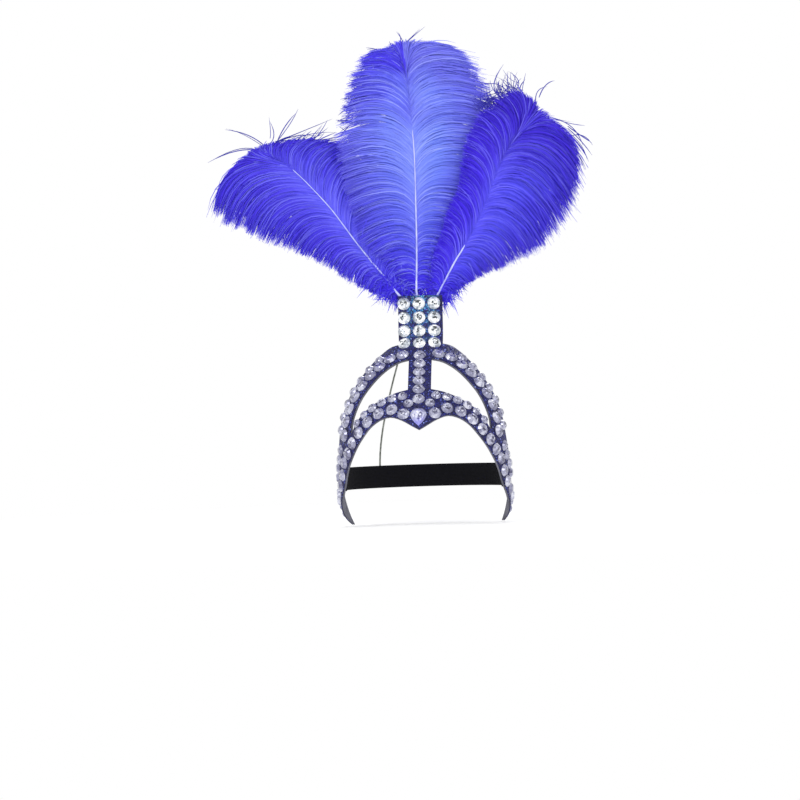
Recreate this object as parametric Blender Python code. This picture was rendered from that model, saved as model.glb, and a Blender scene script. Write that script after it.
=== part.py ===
"""Showgirl headdress: a crown frame set with flat-backed stones, carrying three ostrich plumes.

The frame is cut flat from one sheet of foam, faced with glitter fabric and bent round the head.
Its outline is drawn on that bent surface by two measures: round, the distance round the head from
the centre line, and height, the level above the tip of the brow's point. All sizes are millimetres
until they become Blender's metres. The front faces -Y, +Z is up, and the origin is in the middle of
the head opening, level with the tip of the brow's point.
"""

from collections import namedtuple
from math import cos, hypot, pi, radians, sin

import bmesh
import bpy
import numpy as np
from mathutils import Matrix, Vector, geometry
from mathutils.bvhtree import BVHTree

METRES_PER_MM = 0.001
GAP = 0.3

BACKING_THICKNESS = 2.2
FACING_THICKNESS = 1.0
FACING_TOP = GAP + FACING_THICKNESS
FACING_FOOT = -103.0
CELL = 13.0

PLATE_HALF_WIDTH = 24.5
PLATE_TOP = 147.5
PLATE_FOOT = 93.0
POST_HALF_WIDTH = 12.5

STONE_DIAMETER = 14.0
POST_STONE_DIAMETER = 13.6
STONE_RISE = 3.2
STONE_SPACING = 0.45
STONE_SUNK = 0.6
TABLE_SHARE = 0.56
GIRDLE = 0.8
PEAR_WIDTH = 18.0
PEAR_LENGTH = 22.0

STRAP_WIDTH = 25.0
STRAP_THICKNESS = 1.5
STRAP_HEIGHT = -52.5
STRAP_SEWN_FROM = radians(72)
WIRE_DIAMETER = 2.0

# Level sections of the bent surface: a half ellipse at each height, half_width wide at widest_y.
Section = namedtuple("Section", "height half_width widest_y front_y")
SECTIONS = [
    Section(-105, 91, 0, -91),
    Section(-72, 92.5, 0, -93),
    Section(-30, 94, 0, -95),
    Section(0, 94, 0, -95),
    Section(15, 92, 3, -87.5),
    Section(28, 88.5, 7, -79),
    Section(42, 84, 12, -66),
    Section(59, 77, 22, -47),
    Section(70, 71.5, 29, -33.5),
    Section(76, 67, 33, -26),
    Section(82, 61.5, 37.5, -19),
    Section(86, 57, 41, -14),
    Section(92, 52, 46, -8),
    Section(98, 66, 62, -4),
    Section(112, 150, 152, 2.5),
    Section(124, 300, 306, 6),
    Section(140, 400, 408, 8.5),
    Section(150, 400, 409, 9),
]

# The right half of each cut edge, from the centre outwards.
Cut = namedtuple("Cut", "round height")
ARCH_REAR_EDGE = [
    Cut(24.5, 93), Cut(34, 90.8), Cut(48.5, 82.2), Cut(62, 71.6), Cut(76.5, 59), Cut(90.5, 45),
    Cut(103, 30.5), Cut(111.2, 15.2), Cut(115.5, 1.5), Cut(120, -11), Cut(126, -23),
    Cut(135, -39), Cut(145, -55.5), Cut(156.5, -73), Cut(169, -89), Cut(181, -104),
]
BROW_FRONT_EDGE = [
    Cut(0, 0.5), Cut(8, 5), Cut(19, 11.2), Cut(32.4, 15), Cut(44, 12.3), Cut(57, 4.7),
    Cut(70.5, -8.5), Cut(81, -19.5), Cut(88.5, -28), Cut(96.5, -37.5), Cut(103, -47), Cut(111, -60),
    Cut(126.5, -73.5), Cut(150, -88.5), Cut(167.5, -98), Cut(181, -104),
]
WINDOW_ARCH_EDGE = [
    Cut(12.5, 77), Cut(24.5, 74.2), Cut(34.6, 69.3), Cut(46.5, 61.2), Cut(59.5, 50), Cut(73, 36),
    Cut(82.5, 21.5), Cut(88, 7), Cut(88.5, -1),
]
WINDOW_BROW_EDGE = [
    Cut(12.5, 43), Cut(23.7, 40.5), Cut(34.8, 36.7), Cut(47, 31.2), Cut(60, 24), Cut(74.2, 13),
    Cut(84, 1), Cut(87, -3),
]

# Stones set in rows along the right half of the frame, in the order they are glued. A row's nested
# stones sit beside it, one between each two of its own.
StoneRow = namedtuple("StoneRow", "name diameter pitch nested path")
STONE_ROWS = [
    StoneRow("brow_lower", 13.6, 14.7, 0, [
        Cut(16.8, 17.2), Cut(29, 22), Cut(41.5, 19.8), Cut(56, 12.6), Cut(69.5, 2), Cut(82.5, -10),
        Cut(94.5, -23.5),
    ]),
    StoneRow("brow_second", 11, 12.4, 0, [Cut(10.9, 28.2)]),
    StoneRow("brow_upper", 11, 12.4, 0, [Cut(18, 36), Cut(30, 34), Cut(42, 30), Cut(54, 24)]),
    StoneRow("brow_end", 9.5, 12.0, 0, [Cut(65, 17), Cut(75.5, 7.5)]),
    StoneRow("arch_main", 14, 15.6, 11.5, [
        Cut(34.6, 76.6), Cut(44.2, 70.8), Cut(52.5, 65), Cut(67.5, 52.4), Cut(80.7, 39.2),
        Cut(91.6, 23.8), Cut(98, 8), Cut(100.5, -4),
    ]),
    StoneRow("arm_front", 13.6, 14.7, 0, [
        Cut(102.5, -34.5), Cut(109, -44), Cut(118, -57), Cut(131, -66.5), Cut(144.5, -75),
    ]),
    StoneRow("arm_rear", 12, 14.2, 0, [Cut(112.5, -20), Cut(123, -36), Cut(133, -50)]),
    StoneRow("arm_tip", 10, 12.0, 0, [Cut(155, -82), Cut(164, -90)]),
]
POST_STONE_HEIGHTS = [80.2, 71, 61.9, 52.5, 43, 32.6]
POST_STONE_ROUND = -0.7
SHOULDER_STONE = Cut(19.8, 81)
PEAR_STONE = Cut(-0.7, 13.4)
PLATE_STONE_HEIGHTS = [138.6, 122.8, 108, 94]
PLATE_STONE_ROUNDS = [-18, -1.5, 15]

# Each plume section: where the quill is, how far back it lies, and where the barbs of either side end.
PlumeSection = namedtuple("PlumeSection", "x z depth left_x left_z right_x right_z")
PLUMES = {
    "plume_left": [
        PlumeSection(-26, 152, 14.7, -34, 150, -21, 155),
        PlumeSection(-38, 168, 27, -62, 156, -17, 186),
        PlumeSection(-54, 188, 35, -93, 178, -23, 220),
        PlumeSection(-68, 206, 41, -128, 199, -37, 250),
        PlumeSection(-83, 227, 46, -158, 212, -50, 279),
        PlumeSection(-98, 248, 50, -186, 225, -63, 301),
        PlumeSection(-117, 270, 54, -212, 240, -79, 318),
        PlumeSection(-134, 288, 58, -225, 254, -109, 326),
        PlumeSection(-149, 301, 62, -221, 273, -140, 327),
        PlumeSection(-166, 309, 67, -208, 297, -172, 325),
    ],
    "plume_centre": [
        PlumeSection(-4, 153, 13.7, -12, 154, 6, 154),
        PlumeSection(-3, 186, 21.5, -40, 187, 22, 185),
        PlumeSection(-2.5, 216, 26, -63, 212, 40, 214),
        PlumeSection(-2.5, 249, 30, -75, 257, 62, 252),
        PlumeSection(-2.5, 277, 34, -81, 296, 74, 287),
        PlumeSection(-3, 310, 38, -82, 329, 80, 324),
        PlumeSection(-5, 343, 43, -74, 362, 81, 353),
        PlumeSection(-7, 371, 49, -68, 390, 71, 382),
        PlumeSection(-10, 396, 56, -58, 414, 59, 407),
        PlumeSection(-11.5, 415, 64, -37, 425, 39, 426),
    ],
    "plume_right": [
        PlumeSection(20.5, 150, 14, 13, 155, 30, 150),
        PlumeSection(27.5, 162.5, 14.3, 14, 185, 51, 160),
        PlumeSection(39, 183, 15.3, 24, 212, 75, 174),
        PlumeSection(50, 200, 16.5, 33, 240, 100, 182),
        PlumeSection(64, 224, 18.5, 45, 264, 125, 196),
        PlumeSection(76, 250, 21, 50, 291, 145, 213),
        PlumeSection(86, 275, 24, 56, 318, 164, 242),
        PlumeSection(97, 299, 28, 70, 343, 176, 272),
        PlumeSection(109, 318, 33, 89, 360, 175, 303),
        PlumeSection(121, 334, 39, 110, 372, 163, 332),
    ],
}
PLUME_TIPS = {
    "plume_left": (-191, 72, 315),
    "plume_centre": (-13, 72, 434),
    "plume_right": (137, 47, 353),
}
STEM_FEET = {
    "plume_left": (-11, 12.2, 134),
    "plume_centre": (0, 11.2, 122),
    "plume_right": (9, 12.6, 130),
}
LOCKS_PER_SIDE = 11
BARB_DROOP = 10.0
BARB_REACH = 1.05
NOTCH_SHARE = 0.84
QUILL_RADIUS = 1.6
QUILL_TIP_RADIUS = 0.6

WIRE_ROUTE = [
    (-13.5, 10.4, 124), (-16, 12.5, 115), (-20, 22, 100), (-27.5, 36, 77), (-36, 54, 52),
    (-44, 69, 25), (-50, 76, 0), (-53.5, 76.3, -25), (-54.5, 76.3, -45), (-54.5, 76.3, -62),
]


def clear_scene():
    for thing in list(bpy.data.objects):
        bpy.data.objects.remove(thing, do_unlink=True)


def smooth_value(rows, at):
    """The columns after the first, read at one value of the first, on a smooth curve through the rows."""
    table = np.array(rows, float)
    knots, values = table[:, 0], table[:, 1:]
    slopes = np.gradient(values, knots, axis=0)
    at = min(max(at, knots[0]), knots[-1])
    low = min(max(int(np.searchsorted(knots, at)) - 1, 0), len(knots) - 2)
    span = knots[low + 1] - knots[low]
    t = (at - knots[low]) / span
    start = (2 * t**3 - 3 * t**2 + 1) * values[low] + (t**3 - 2 * t**2 + t) * span * slopes[low]
    end = (3 * t**2 - 2 * t**3) * values[low + 1] + (t**3 - t**2) * span * slopes[low + 1]
    return start + end


def smooth_path(points, step, measure=lambda point: point):
    """Evenly spaced points on a smooth curve through the given ones, a step apart as measured."""
    points = np.array(points, float)
    if len(points) == 1:
        return points
    along = np.concatenate([[0], np.cumsum(np.linalg.norm(np.diff(points, axis=0), axis=1))])
    rows = np.column_stack([along, points])
    fine = np.array([smooth_value(rows, at) for at in np.linspace(0, along[-1], 40 * len(points))])
    places = np.array([measure(point) for point in fine], float)
    walked = np.concatenate([[0], np.cumsum(np.linalg.norm(np.diff(places, axis=0), axis=1))])
    count = max(int(round(walked[-1] / step)), 1)
    stops = np.linspace(0, walked[-1], count + 1)
    return np.column_stack([np.interp(stops, walked, column) for column in fine.T])


def bend(round_, height, lift=0.0):
    """A point of the bent surface, raised off it by lift along its outward normal."""
    half_width, widest_y, front_y = smooth_value(SECTIONS, height)
    angle = round_ / half_width
    depth = widest_y - front_y
    point = Vector((half_width * sin(angle), widest_y - depth * cos(angle), height))
    return point if lift == 0 else point + lift * outward(round_, height)


def outward(round_, height, reach=0.5):
    across = bend(round_ + reach, height) - bend(round_ - reach, height)
    up = bend(round_, height + reach) - bend(round_, height - reach)
    return across.cross(up).normalized()


def material(name, colour, roughness, metallic=0.0):
    made = bpy.data.materials.new(name)
    made.use_nodes = True
    shader = made.node_tree.nodes["Principled BSDF"]
    shader.inputs["Base Color"].default_value = (*colour, 1)
    shader.inputs["Roughness"].default_value = roughness
    shader.inputs["Metallic"].default_value = metallic
    made.diffuse_color = (*colour, 1)
    return made


def finish(name, bm, surface, smooth=False):
    """Makes a closed bmesh, in millimetres, into an object in metres."""
    bmesh.ops.recalc_face_normals(bm, faces=bm.faces)
    bmesh.ops.scale(bm, vec=(METRES_PER_MM,) * 3, verts=bm.verts)
    mesh = bpy.data.meshes.new(name)
    bm.to_mesh(mesh)
    bm.free()
    if smooth:
        mesh.shade_smooth()
    mesh.materials.append(surface)
    made = bpy.data.objects.new(name, mesh)
    bpy.context.scene.collection.objects.link(made)
    return made


def fuse(body, helper):
    """Joins a helper's solid to the body with a Boolean union, and hides the helper."""
    helper.hide_render = True
    helper.display_type = "WIRE"
    union = body.modifiers.new("fuse_" + helper.name, "BOOLEAN")
    union.operation = "UNION"
    union.object = helper


def inside(point, outline):
    """Whether a flat point lies inside a closed outline."""
    x, y = point
    hit = False
    for (x0, y0), (x1, y1) in zip(outline, np.roll(outline, -1, axis=0)):
        if (y0 > y) != (y1 > y) and x < (x1 - x0) * (y - y0) / (y1 - y0) + x0:
            hit = not hit
    return hit


def half_pattern():
    """The right half of the flat pattern: its outline from the top down the rear edge, and its window."""
    plate_side = [(PLATE_HALF_WIDTH, height) for height in np.linspace(PLATE_TOP, PLATE_FOOT, 5)[:-1]]
    rear = smooth_path(ARCH_REAR_EDGE, CELL)
    front = smooth_path(BROW_FRONT_EDGE, CELL)[::-1]
    middle = [(0, height) for height in np.linspace(front[-1][1], PLATE_TOP, 13)[1:]]
    outline = [*plate_side, *rear[:-1], *front, *middle]
    arch_side = smooth_path(WINDOW_ARCH_EDGE, CELL)
    brow_side = smooth_path(WINDOW_BROW_EDGE, CELL)[::-1]
    post_side = [(POST_HALF_WIDTH, height) for height in np.linspace(43, 77, 4)[1:-1]]
    window = [*arch_side, *brow_side, *post_side]
    return np.array(outline, float), np.array(window, float)


def pattern_mesh():
    """Points and triangles of the whole flat pattern, the left half mirrored from the right."""
    outline, window = half_pattern()
    rim = np.concatenate([outline, window])
    lattice = []
    for row, height in enumerate(np.arange(-100, PLATE_TOP, CELL * 0.87)):
        for round_ in np.arange(CELL * (0.5 + 0.5 * (row % 2)), outline[:, 0].max(), CELL):
            place = (round_, height)
            clear = np.hypot(*(rim - place).T).min() > CELL * 0.5
            if clear and inside(place, outline) and not inside(place, window):
                lattice.append(place)
    loops = []
    for first, loop in ((0, outline), (len(outline), window)):
        loops += [(first + i, first + (i + 1) % len(loop)) for i in range(len(loop))]
    places = [Vector(place) for place in [*outline, *window, *lattice]]
    points, _, triangles = geometry.delaunay_2d_cdt(places, loops, [], 1, 1e-4)[:3]
    points = np.array([tuple(point) for point in points])
    kept = []
    for triangle in triangles:
        centre = points[list(triangle)].mean(axis=0)
        if inside(centre, outline) and not inside(centre, window):
            kept.append(tuple(triangle))
    left = {}
    for index, (round_, height) in enumerate(points):
        left[index] = index if abs(round_) < 1e-6 else len(points) + len(left)
    order = sorted((new, old) for old, new in left.items() if new >= len(points))
    left = {old: len(points) + place for place, (_, old) in enumerate(order)}
    mirrored = np.array([(-points[old][0], points[old][1]) for _, old in order])
    kept += [tuple(left.get(index, index) for index in reversed(triangle)) for triangle in kept]
    return np.concatenate([points, mirrored]), kept


def bent_sheet(name, pattern, inner, outer, surface, foot=None):
    """A closed sheet between two lifts off the bent surface, trimmed level at the foot if one is given."""
    points, triangles = pattern
    if foot is not None:
        points = np.column_stack([points[:, 0], np.maximum(points[:, 1], foot)])
    bm = bmesh.new()
    under, over = [
        [bm.verts.new(bend(round_, height, lift)) for round_, height in points] for lift in (inner, outer)
    ]
    used = {}
    for a, b, c in triangles:
        bm.faces.new((over[a], over[b], over[c]))
        bm.faces.new((under[c], under[b], under[a]))
        for edge in ((a, b), (b, c), (c, a)):
            used[edge] = True
    for a, b in used:
        if (b, a) not in used:
            bm.faces.new((over[b], over[a], under[a], under[b]))
    return finish(name, bm, surface)


def round_outline(diameter, sides):
    return [Vector((cos(2 * pi * i / sides), sin(2 * pi * i / sides))) * diameter / 2 for i in range(sides)]


def pear_outline(width, length):
    """A round top on sides that draw in to a point below."""
    middle = (length - width) / 2
    below = [(width / 2 * (1 - t) * (1 + 0.6 * t), middle - (length - width / 2) * t)
             for t in (0.75, 0.5, 0.25)]
    crown = [(width / 2 * sin(turn), middle + width / 2 * cos(turn)) for turn in np.linspace(pi / 2, -pi / 2, 9)]
    outline = [(0, -length / 2), *below, *crown, *[(-x, y) for x, y in below[::-1]]]
    return [Vector(point) for point in outline]


def add_cut_stone(bm, outline, seat, foot, girdle, rise):
    """A flat-backed stone: a girdle wall, crown facets, and a table of half as many sides."""
    sides = len(outline)
    coarse = sides > 8
    rings = [[bm.verts.new(seat @ Vector((*p, level))) for p in outline] for level in (foot, girdle)]
    step = 2 if coarse else 1
    table = [bm.verts.new(seat @ Vector((*(p * TABLE_SHARE), rise))) for p in outline[::step]]
    bm.faces.new(rings[0][::-1])
    bm.faces.new(table)
    for i in range(sides):
        after = (i + 1) % sides
        bm.faces.new((rings[0][i], rings[0][after], rings[1][after], rings[1][i]))
        if not coarse:
            bm.faces.new((rings[1][i], rings[1][after], table[after], table[i]))
    if coarse:
        for k, i in enumerate(range(0, sides, 2)):
            after, far = (k + 1) % len(table), (i + 2) % sides
            bm.faces.new((rings[1][i], rings[1][i + 1], table[k]))
            bm.faces.new((rings[1][i + 1], table[after], table[k]))
            bm.faces.new((rings[1][i + 1], rings[1][far], table[after]))


def seat_at(round_, height, sheet, outline=None):
    """The frame of a stone on the facing: Z away from the head, Y up along the surface.

    With an outline the stone rests, a gap above the highest facet under it; without, on the facet
    under its middle.
    """
    out = outward(round_, height)
    up = bend(round_, height + 0.5) - bend(round_, height - 0.5)
    up = (up - up.dot(out) * out).normalized()
    turned = Matrix((up.cross(out), up, out)).transposed().to_4x4()
    start = 10.0
    seat = Matrix.Translation(bend(round_, height, start)) @ turned
    spots = [Vector((0, 0))]
    for share in (0.5, 1.0) if outline else ():
        spots += [point * share for point in outline]
    drops = [sheet.ray_cast(seat @ Vector((*spot, 0)), -out)[3] for spot in spots]
    drop = min((found for found in drops if found is not None), default=start - FACING_TOP)
    return seat @ Matrix.Translation((0, 0, -drop))


def beside(place, along, distance):
    """A place moved over the bent surface, square to the direction along it and to its left."""
    across = bend(place[0] + 0.5, place[1]) - bend(place[0] - 0.5, place[1])
    up = bend(place[0], place[1] + 0.5) - bend(place[0], place[1] - 0.5)
    left = outward(*place).cross(across * along[0] + up * along[1]).normalized() * distance
    shares = np.array([[across.dot(across), across.dot(up)], [across.dot(up), up.dot(up)]])
    return place + np.linalg.solve(shares, [across.dot(left), up.dot(left)])


def main_places():
    """The stones that are pieces of their own: (round, height, diameter), as seen from the right half."""
    places = [(0, PEAR_STONE.height, PEAR_WIDTH), (*SHOULDER_STONE, STONE_DIAMETER)]
    places += [(0, height, POST_STONE_DIAMETER) for height in POST_STONE_HEIGHTS]
    for round_ in PLATE_STONE_ROUNDS:
        places += [(abs(round_), height, STONE_DIAMETER) for height in PLATE_STONE_HEIGHTS]
    return places


def field_places():
    """The stones of the rows, on the right half. Each slides to its row's left until it clears the rest."""
    taken = main_places()
    first = len(taken)

    def touches(place, diameter):
        point = bend(*place)
        return place[0] < (diameter + STONE_SPACING) / 2 or any(
            (bend(round_, height) - point).length < (other + diameter) / 2 + STONE_SPACING
            for round_, height, other in taken
        )

    def glue(place, along, diameter):
        for _ in range(80):
            if touches(place, diameter):
                place = beside(place, along, 0.25)
        taken.append((*place, diameter))

    for row in STONE_ROWS:
        path = smooth_path(row.path, row.pitch, lambda cut: bend(*cut))
        for i, place in enumerate(path):
            along = path[min(i + 1, len(path) - 1)] - path[max(i - 1, 0)]
            glue(place, along if len(path) > 1 else (0, -1), row.diameter)
        for place, after in zip(path, path[1:]) if row.nested else ():
            glue((place + after) / 2, after - place, row.nested)
    return taken[first:]


def add_facing(pattern, fabric):
    """The fabric over the frame, a little short of the arms' tips, with the field of stones fused to it."""
    facing = bent_sheet("glitter_facing", pattern, GAP, FACING_TOP, fabric, FACING_FOOT)
    sheet = sheet_tree(facing)
    bm = bmesh.new()
    for round_, height, diameter in field_places():
        rise = STONE_RISE * diameter / STONE_DIAMETER
        for side in (-1, 1):
            seat = seat_at(side * round_, height, sheet)
            add_cut_stone(bm, round_outline(diameter, 8), seat, -STONE_SUNK, 0.2, rise)
    fuse(facing, finish("field_stones", bm, fabric))
    return sheet


def sheet_tree(sheet):
    """The sheet's facets for casting rays at, in millimetres."""
    points = [vertex.co / METRES_PER_MM for vertex in sheet.data.vertices]
    return BVHTree.FromPolygons(points, [tuple(face.vertices) for face in sheet.data.polygons])


def add_stone(name, outline, round_, height, sheet, stone):
    bm = bmesh.new()
    seat = seat_at(round_, height, sheet, outline)
    add_cut_stone(bm, outline, seat, GAP, GAP + GIRDLE, GAP + GIRDLE + STONE_RISE)
    return finish(name, bm, stone)


def add_main_stones(sheet, stone):
    """The stones of the plate, the post and the shoulders, and the pear over the brow's point."""
    outline = round_outline(STONE_DIAMETER, 16)
    post_outline = round_outline(POST_STONE_DIAMETER, 16)
    plate = [(round_, height) for height in PLATE_STONE_HEIGHTS for round_ in PLATE_STONE_ROUNDS]
    for number, place in enumerate(plate, 1):
        add_stone(f"plate_stone_{number:02d}", outline, *place, sheet, stone)
    for number, height in enumerate(POST_STONE_HEIGHTS, 1):
        add_stone(f"post_stone_{number}", post_outline, POST_STONE_ROUND, height, sheet, stone)
    round_, height = SHOULDER_STONE
    add_stone("shoulder_stone_left", outline, -round_, height, sheet, stone)
    add_stone("shoulder_stone_right", outline, round_, height, sheet, stone)
    add_stone("brow_pear_stone", pear_outline(PEAR_WIDTH, PEAR_LENGTH), *PEAR_STONE, sheet, stone)


def swept_tube(name, route, radii, sides, surface):
    """A round tube along a route, with its own radius at each point and flat ends."""
    route = [Vector(point) for point in route]
    bm = bmesh.new()
    rings = []
    for i, (centre, radius) in enumerate(zip(route, radii)):
        along = (route[min(i + 1, len(route) - 1)] - route[max(i - 1, 0)]).normalized()
        across = along.cross(Vector((0, 1, 0))).normalized()
        other = along.cross(across)
        spokes = [across * cos(2 * pi * k / sides) + other * sin(2 * pi * k / sides) for k in range(sides)]
        rings.append([bm.verts.new(centre + spoke * radius) for spoke in spokes])
    for low, high in zip(rings, rings[1:]):
        for k in range(sides):
            bm.faces.new((low[k], low[(k + 1) % sides], high[(k + 1) % sides], high[k]))
    bm.faces.new(rings[0][::-1])
    bm.faces.new(rings[-1])
    return finish(name, bm, surface, smooth=True)


def barb_point(sections, at, side, share):
    """A point on the barb that leaves the quill at one place, share of the way to its end."""
    x, z, depth, left_x, left_z, right_x, right_z = smooth_value(sections, at)
    ahead = smooth_value(sections, at + 0.01)[:2] - smooth_value(sections, at - 0.01)[:2]
    ahead = ahead / hypot(*ahead)
    start = np.array([x, z])
    end = np.array([left_x, left_z]) if side < 0 else np.array([right_x, right_z])
    end = start + BARB_REACH * (end - start)
    reach = hypot(*(end - start))
    elbow = start + reach * (0.42 * ahead + 0.28 * (end - start) / reach)
    place = (1 - share) ** 2 * start + 2 * share * (1 - share) * elbow + share**2 * end
    droop = BARB_DROOP * min(1, 0.3 + 2 * at) * share**2
    return Vector((place[0], depth + droop, place[1]))


def add_plume(name, feather):
    """One plume: locks of barbs on both sides of the quill and one at the tip, fused to the quill."""
    sections = [(i / (len(PLUMES[name]) - 1), *section) for i, section in enumerate(PLUMES[name])]
    stations = 2 * LOCKS_PER_SIDE
    bm = bmesh.new()

    def pair(place, thickness):
        if thickness == 0:
            shared = bm.verts.new(place)
            return shared, shared
        half = Vector((0, thickness / 2, 0))
        return bm.verts.new(place - half), bm.verts.new(place + half)

    def skin(*pairs):
        for layer in (0, 1):
            corners = list(dict.fromkeys(pair_[layer] for pair_ in pairs))
            if len(corners) > 2:
                bm.faces.new(corners if layer == 0 else corners[::-1])

    def swell(at, most):
        return most * min(1, 0.25 + 2.5 * at)

    spine = []
    for k in range(stations + 1):
        thickness = 0 if k == 0 else swell(k / stations, 4.0)
        spine.append(pair(barb_point(sections, k / stations, 1, 0), thickness))
    edges = {}
    for side in (-1, 1):
        lines = []
        for k in range(stations + 1):
            at = k / stations
            ridge = k % 2 == 1
            inner = 0 if k == 0 else swell(at, 4.6 if ridge else 3.0)
            outer = swell(at, 3.0) if ridge else 0
            line = [spine[k], pair(barb_point(sections, at, side, 0.45), inner)]
            line.append(pair(barb_point(sections, at, side, NOTCH_SHARE), outer))
            if ridge:
                line.append(pair(barb_point(sections, at, side, 1.0), 0))
            lines.append(line)
        for low, high in zip(lines, lines[1:]):
            for near in (0, 1):
                if side > 0:
                    skin(low[near], low[near + 1], high[near + 1], high[near])
                else:
                    skin(low[near], high[near], high[near + 1], low[near + 1])
        for k in range(1, stations, 2):
            before, ridge, after = lines[k - 1], lines[k], lines[k + 1]
            if side > 0:
                skin(before[2], ridge[3], ridge[2])
                skin(ridge[2], ridge[3], after[2])
            else:
                skin(before[2], ridge[2], ridge[3])
                skin(ridge[2], after[2], ridge[3])
        edges[side] = lines[-1]
    tip = pair(Vector(PLUME_TIPS[name]), 0)
    left, right = edges[-1], edges[1]
    skin(spine[-1], right[1], tip)
    skin(right[1], right[2], tip)
    skin(spine[-1], tip, left[1])
    skin(left[1], tip, left[2])
    plume = finish(name, bm, feather)

    quill_end = 0.86
    spots = np.linspace(0, quill_end, 10)
    route = [barb_point(sections, at, 1, 0) for at in spots]
    foot = Vector(STEM_FEET[name])
    bases = smooth_path([foot, (foot + route[0]) / 2, *route], 12.0)
    radii = np.linspace(QUILL_RADIUS, QUILL_TIP_RADIUS, len(bases))
    fuse(plume, swept_tube(name + "_quill", bases, radii, 6, feather))
    return plume


def add_strap(elastic):
    """The elastic, a flat ribbon inside the frame from one arm round the back to the other."""
    outer = -BACKING_THICKNESS - 0.5
    lifts = (outer - STRAP_THICKNESS, outer)
    half_width = smooth_value(SECTIONS, STRAP_HEIGHT)[0]
    bm = bmesh.new()
    rings = []
    for angle in np.linspace(STRAP_SEWN_FROM, 2 * pi - STRAP_SEWN_FROM, 37):
        corners = []
        for lift, level in ((0, 0.5), (1, 0.5), (1, -0.5), (0, -0.5)):
            height = STRAP_HEIGHT + level * STRAP_WIDTH
            width = smooth_value(SECTIONS, height)[0]
            corners.append(bm.verts.new(bend(angle * width, height, lifts[lift])))
        rings.append(corners)
    for near, far in zip(rings, rings[1:]):
        for k in range(4):
            bm.faces.new((near[k], near[(k + 1) % 4], far[(k + 1) % 4], far[k]))
    bm.faces.new(rings[0][::-1])
    bm.faces.new(rings[-1])
    return finish("elastic_strap", bm, elastic, smooth=True)


def build():
    clear_scene()
    foam = material("grey craft foam", (0.075, 0.075, 0.09), 0.85)
    fabric = material("navy glitter fabric", (0.012, 0.012, 0.12), 0.45)
    stone = material("clear foiled rhinestone", (0.62, 0.64, 0.82), 0.08, 0.6)
    feather = material("dyed ostrich feather", (0.06, 0.03, 0.62), 0.75)
    elastic = material("black woven elastic", (0.004, 0.004, 0.006), 0.9)
    wire = material("grey steel wire", (0.2, 0.21, 0.2), 0.4, 0.9)
    pattern = pattern_mesh()
    bent_sheet("foam_backing", pattern, -BACKING_THICKNESS, 0, foam)
    sheet = add_facing(pattern, fabric)
    add_main_stones(sheet, stone)
    for name in PLUMES:
        add_plume(name, feather)
    add_strap(elastic)
    route = smooth_path(WIRE_ROUTE, 9.0)
    swept_tube("wire_stay", route, [WIRE_DIAMETER / 2] * len(route), 6, wire)


build()
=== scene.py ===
"""The looks of a showgirl headdress: a foam crown set with foiled stones and three ostrich plumes.

The pieces are made in the order that the maker puts them together. Sizes are in millimetres until a
piece is finished, and its mesh is then in metres in the frame's own place. The front faces -Y.
"""

from collections import namedtuple
from math import cos, pi, radians, sin

import bpy
import numpy as np
from mathutils import Matrix, Vector, geometry


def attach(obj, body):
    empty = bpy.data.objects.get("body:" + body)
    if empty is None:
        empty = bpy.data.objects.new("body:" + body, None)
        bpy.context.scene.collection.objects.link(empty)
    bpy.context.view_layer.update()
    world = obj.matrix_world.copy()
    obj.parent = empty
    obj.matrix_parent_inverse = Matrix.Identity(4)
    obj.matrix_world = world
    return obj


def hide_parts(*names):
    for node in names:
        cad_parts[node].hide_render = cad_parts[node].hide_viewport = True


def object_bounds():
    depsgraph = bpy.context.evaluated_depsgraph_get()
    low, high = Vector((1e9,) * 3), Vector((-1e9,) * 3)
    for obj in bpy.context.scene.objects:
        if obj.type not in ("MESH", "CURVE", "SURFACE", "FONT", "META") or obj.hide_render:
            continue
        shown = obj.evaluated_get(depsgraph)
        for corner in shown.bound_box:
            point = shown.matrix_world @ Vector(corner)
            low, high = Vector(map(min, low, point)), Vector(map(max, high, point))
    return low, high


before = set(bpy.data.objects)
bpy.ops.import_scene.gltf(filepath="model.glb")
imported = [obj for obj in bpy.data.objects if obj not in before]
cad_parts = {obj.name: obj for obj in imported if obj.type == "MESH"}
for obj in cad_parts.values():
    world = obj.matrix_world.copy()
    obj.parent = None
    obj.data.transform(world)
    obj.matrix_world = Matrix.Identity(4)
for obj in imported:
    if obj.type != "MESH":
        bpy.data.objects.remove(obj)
cad_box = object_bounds()
bpy.ops.object.select_all(action="DESELECT")

# The crown's frame: one sheet of grey craft foam, cut flat with a brow point, an arch, a post and a
# plate, and bent into a crown. Its cut edge shows along the inside of every curve. Round is the
# distance along the bend from the centre line, and height is the level over the brow's point.
METRES_PER_MM = 0.001
FOAM_THICKNESS = 2.2
FOAM_ROUNDING = 0.35
PATTERN_CELL = 4.5
ROW_SPACING = 0.87
RIM_CLEARANCE = 0.5
SIDE_POINTS = 13
MIDDLE_POINTS = 33
TOP_POINTS = 6
POST_POINTS = 8
PLATE_HALF_WIDTH = 24.5
PLATE_TOP = 147.5
PLATE_FOOT = 93.0
POST_HALF_WIDTH = 12.5
POST_TOP = 77
POST_FOOT = 43
LOWEST_CELLS = -102
CUT_EDGE_ANGLE = radians(60)
SMOOTH_ANGLE = radians(40)

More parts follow.
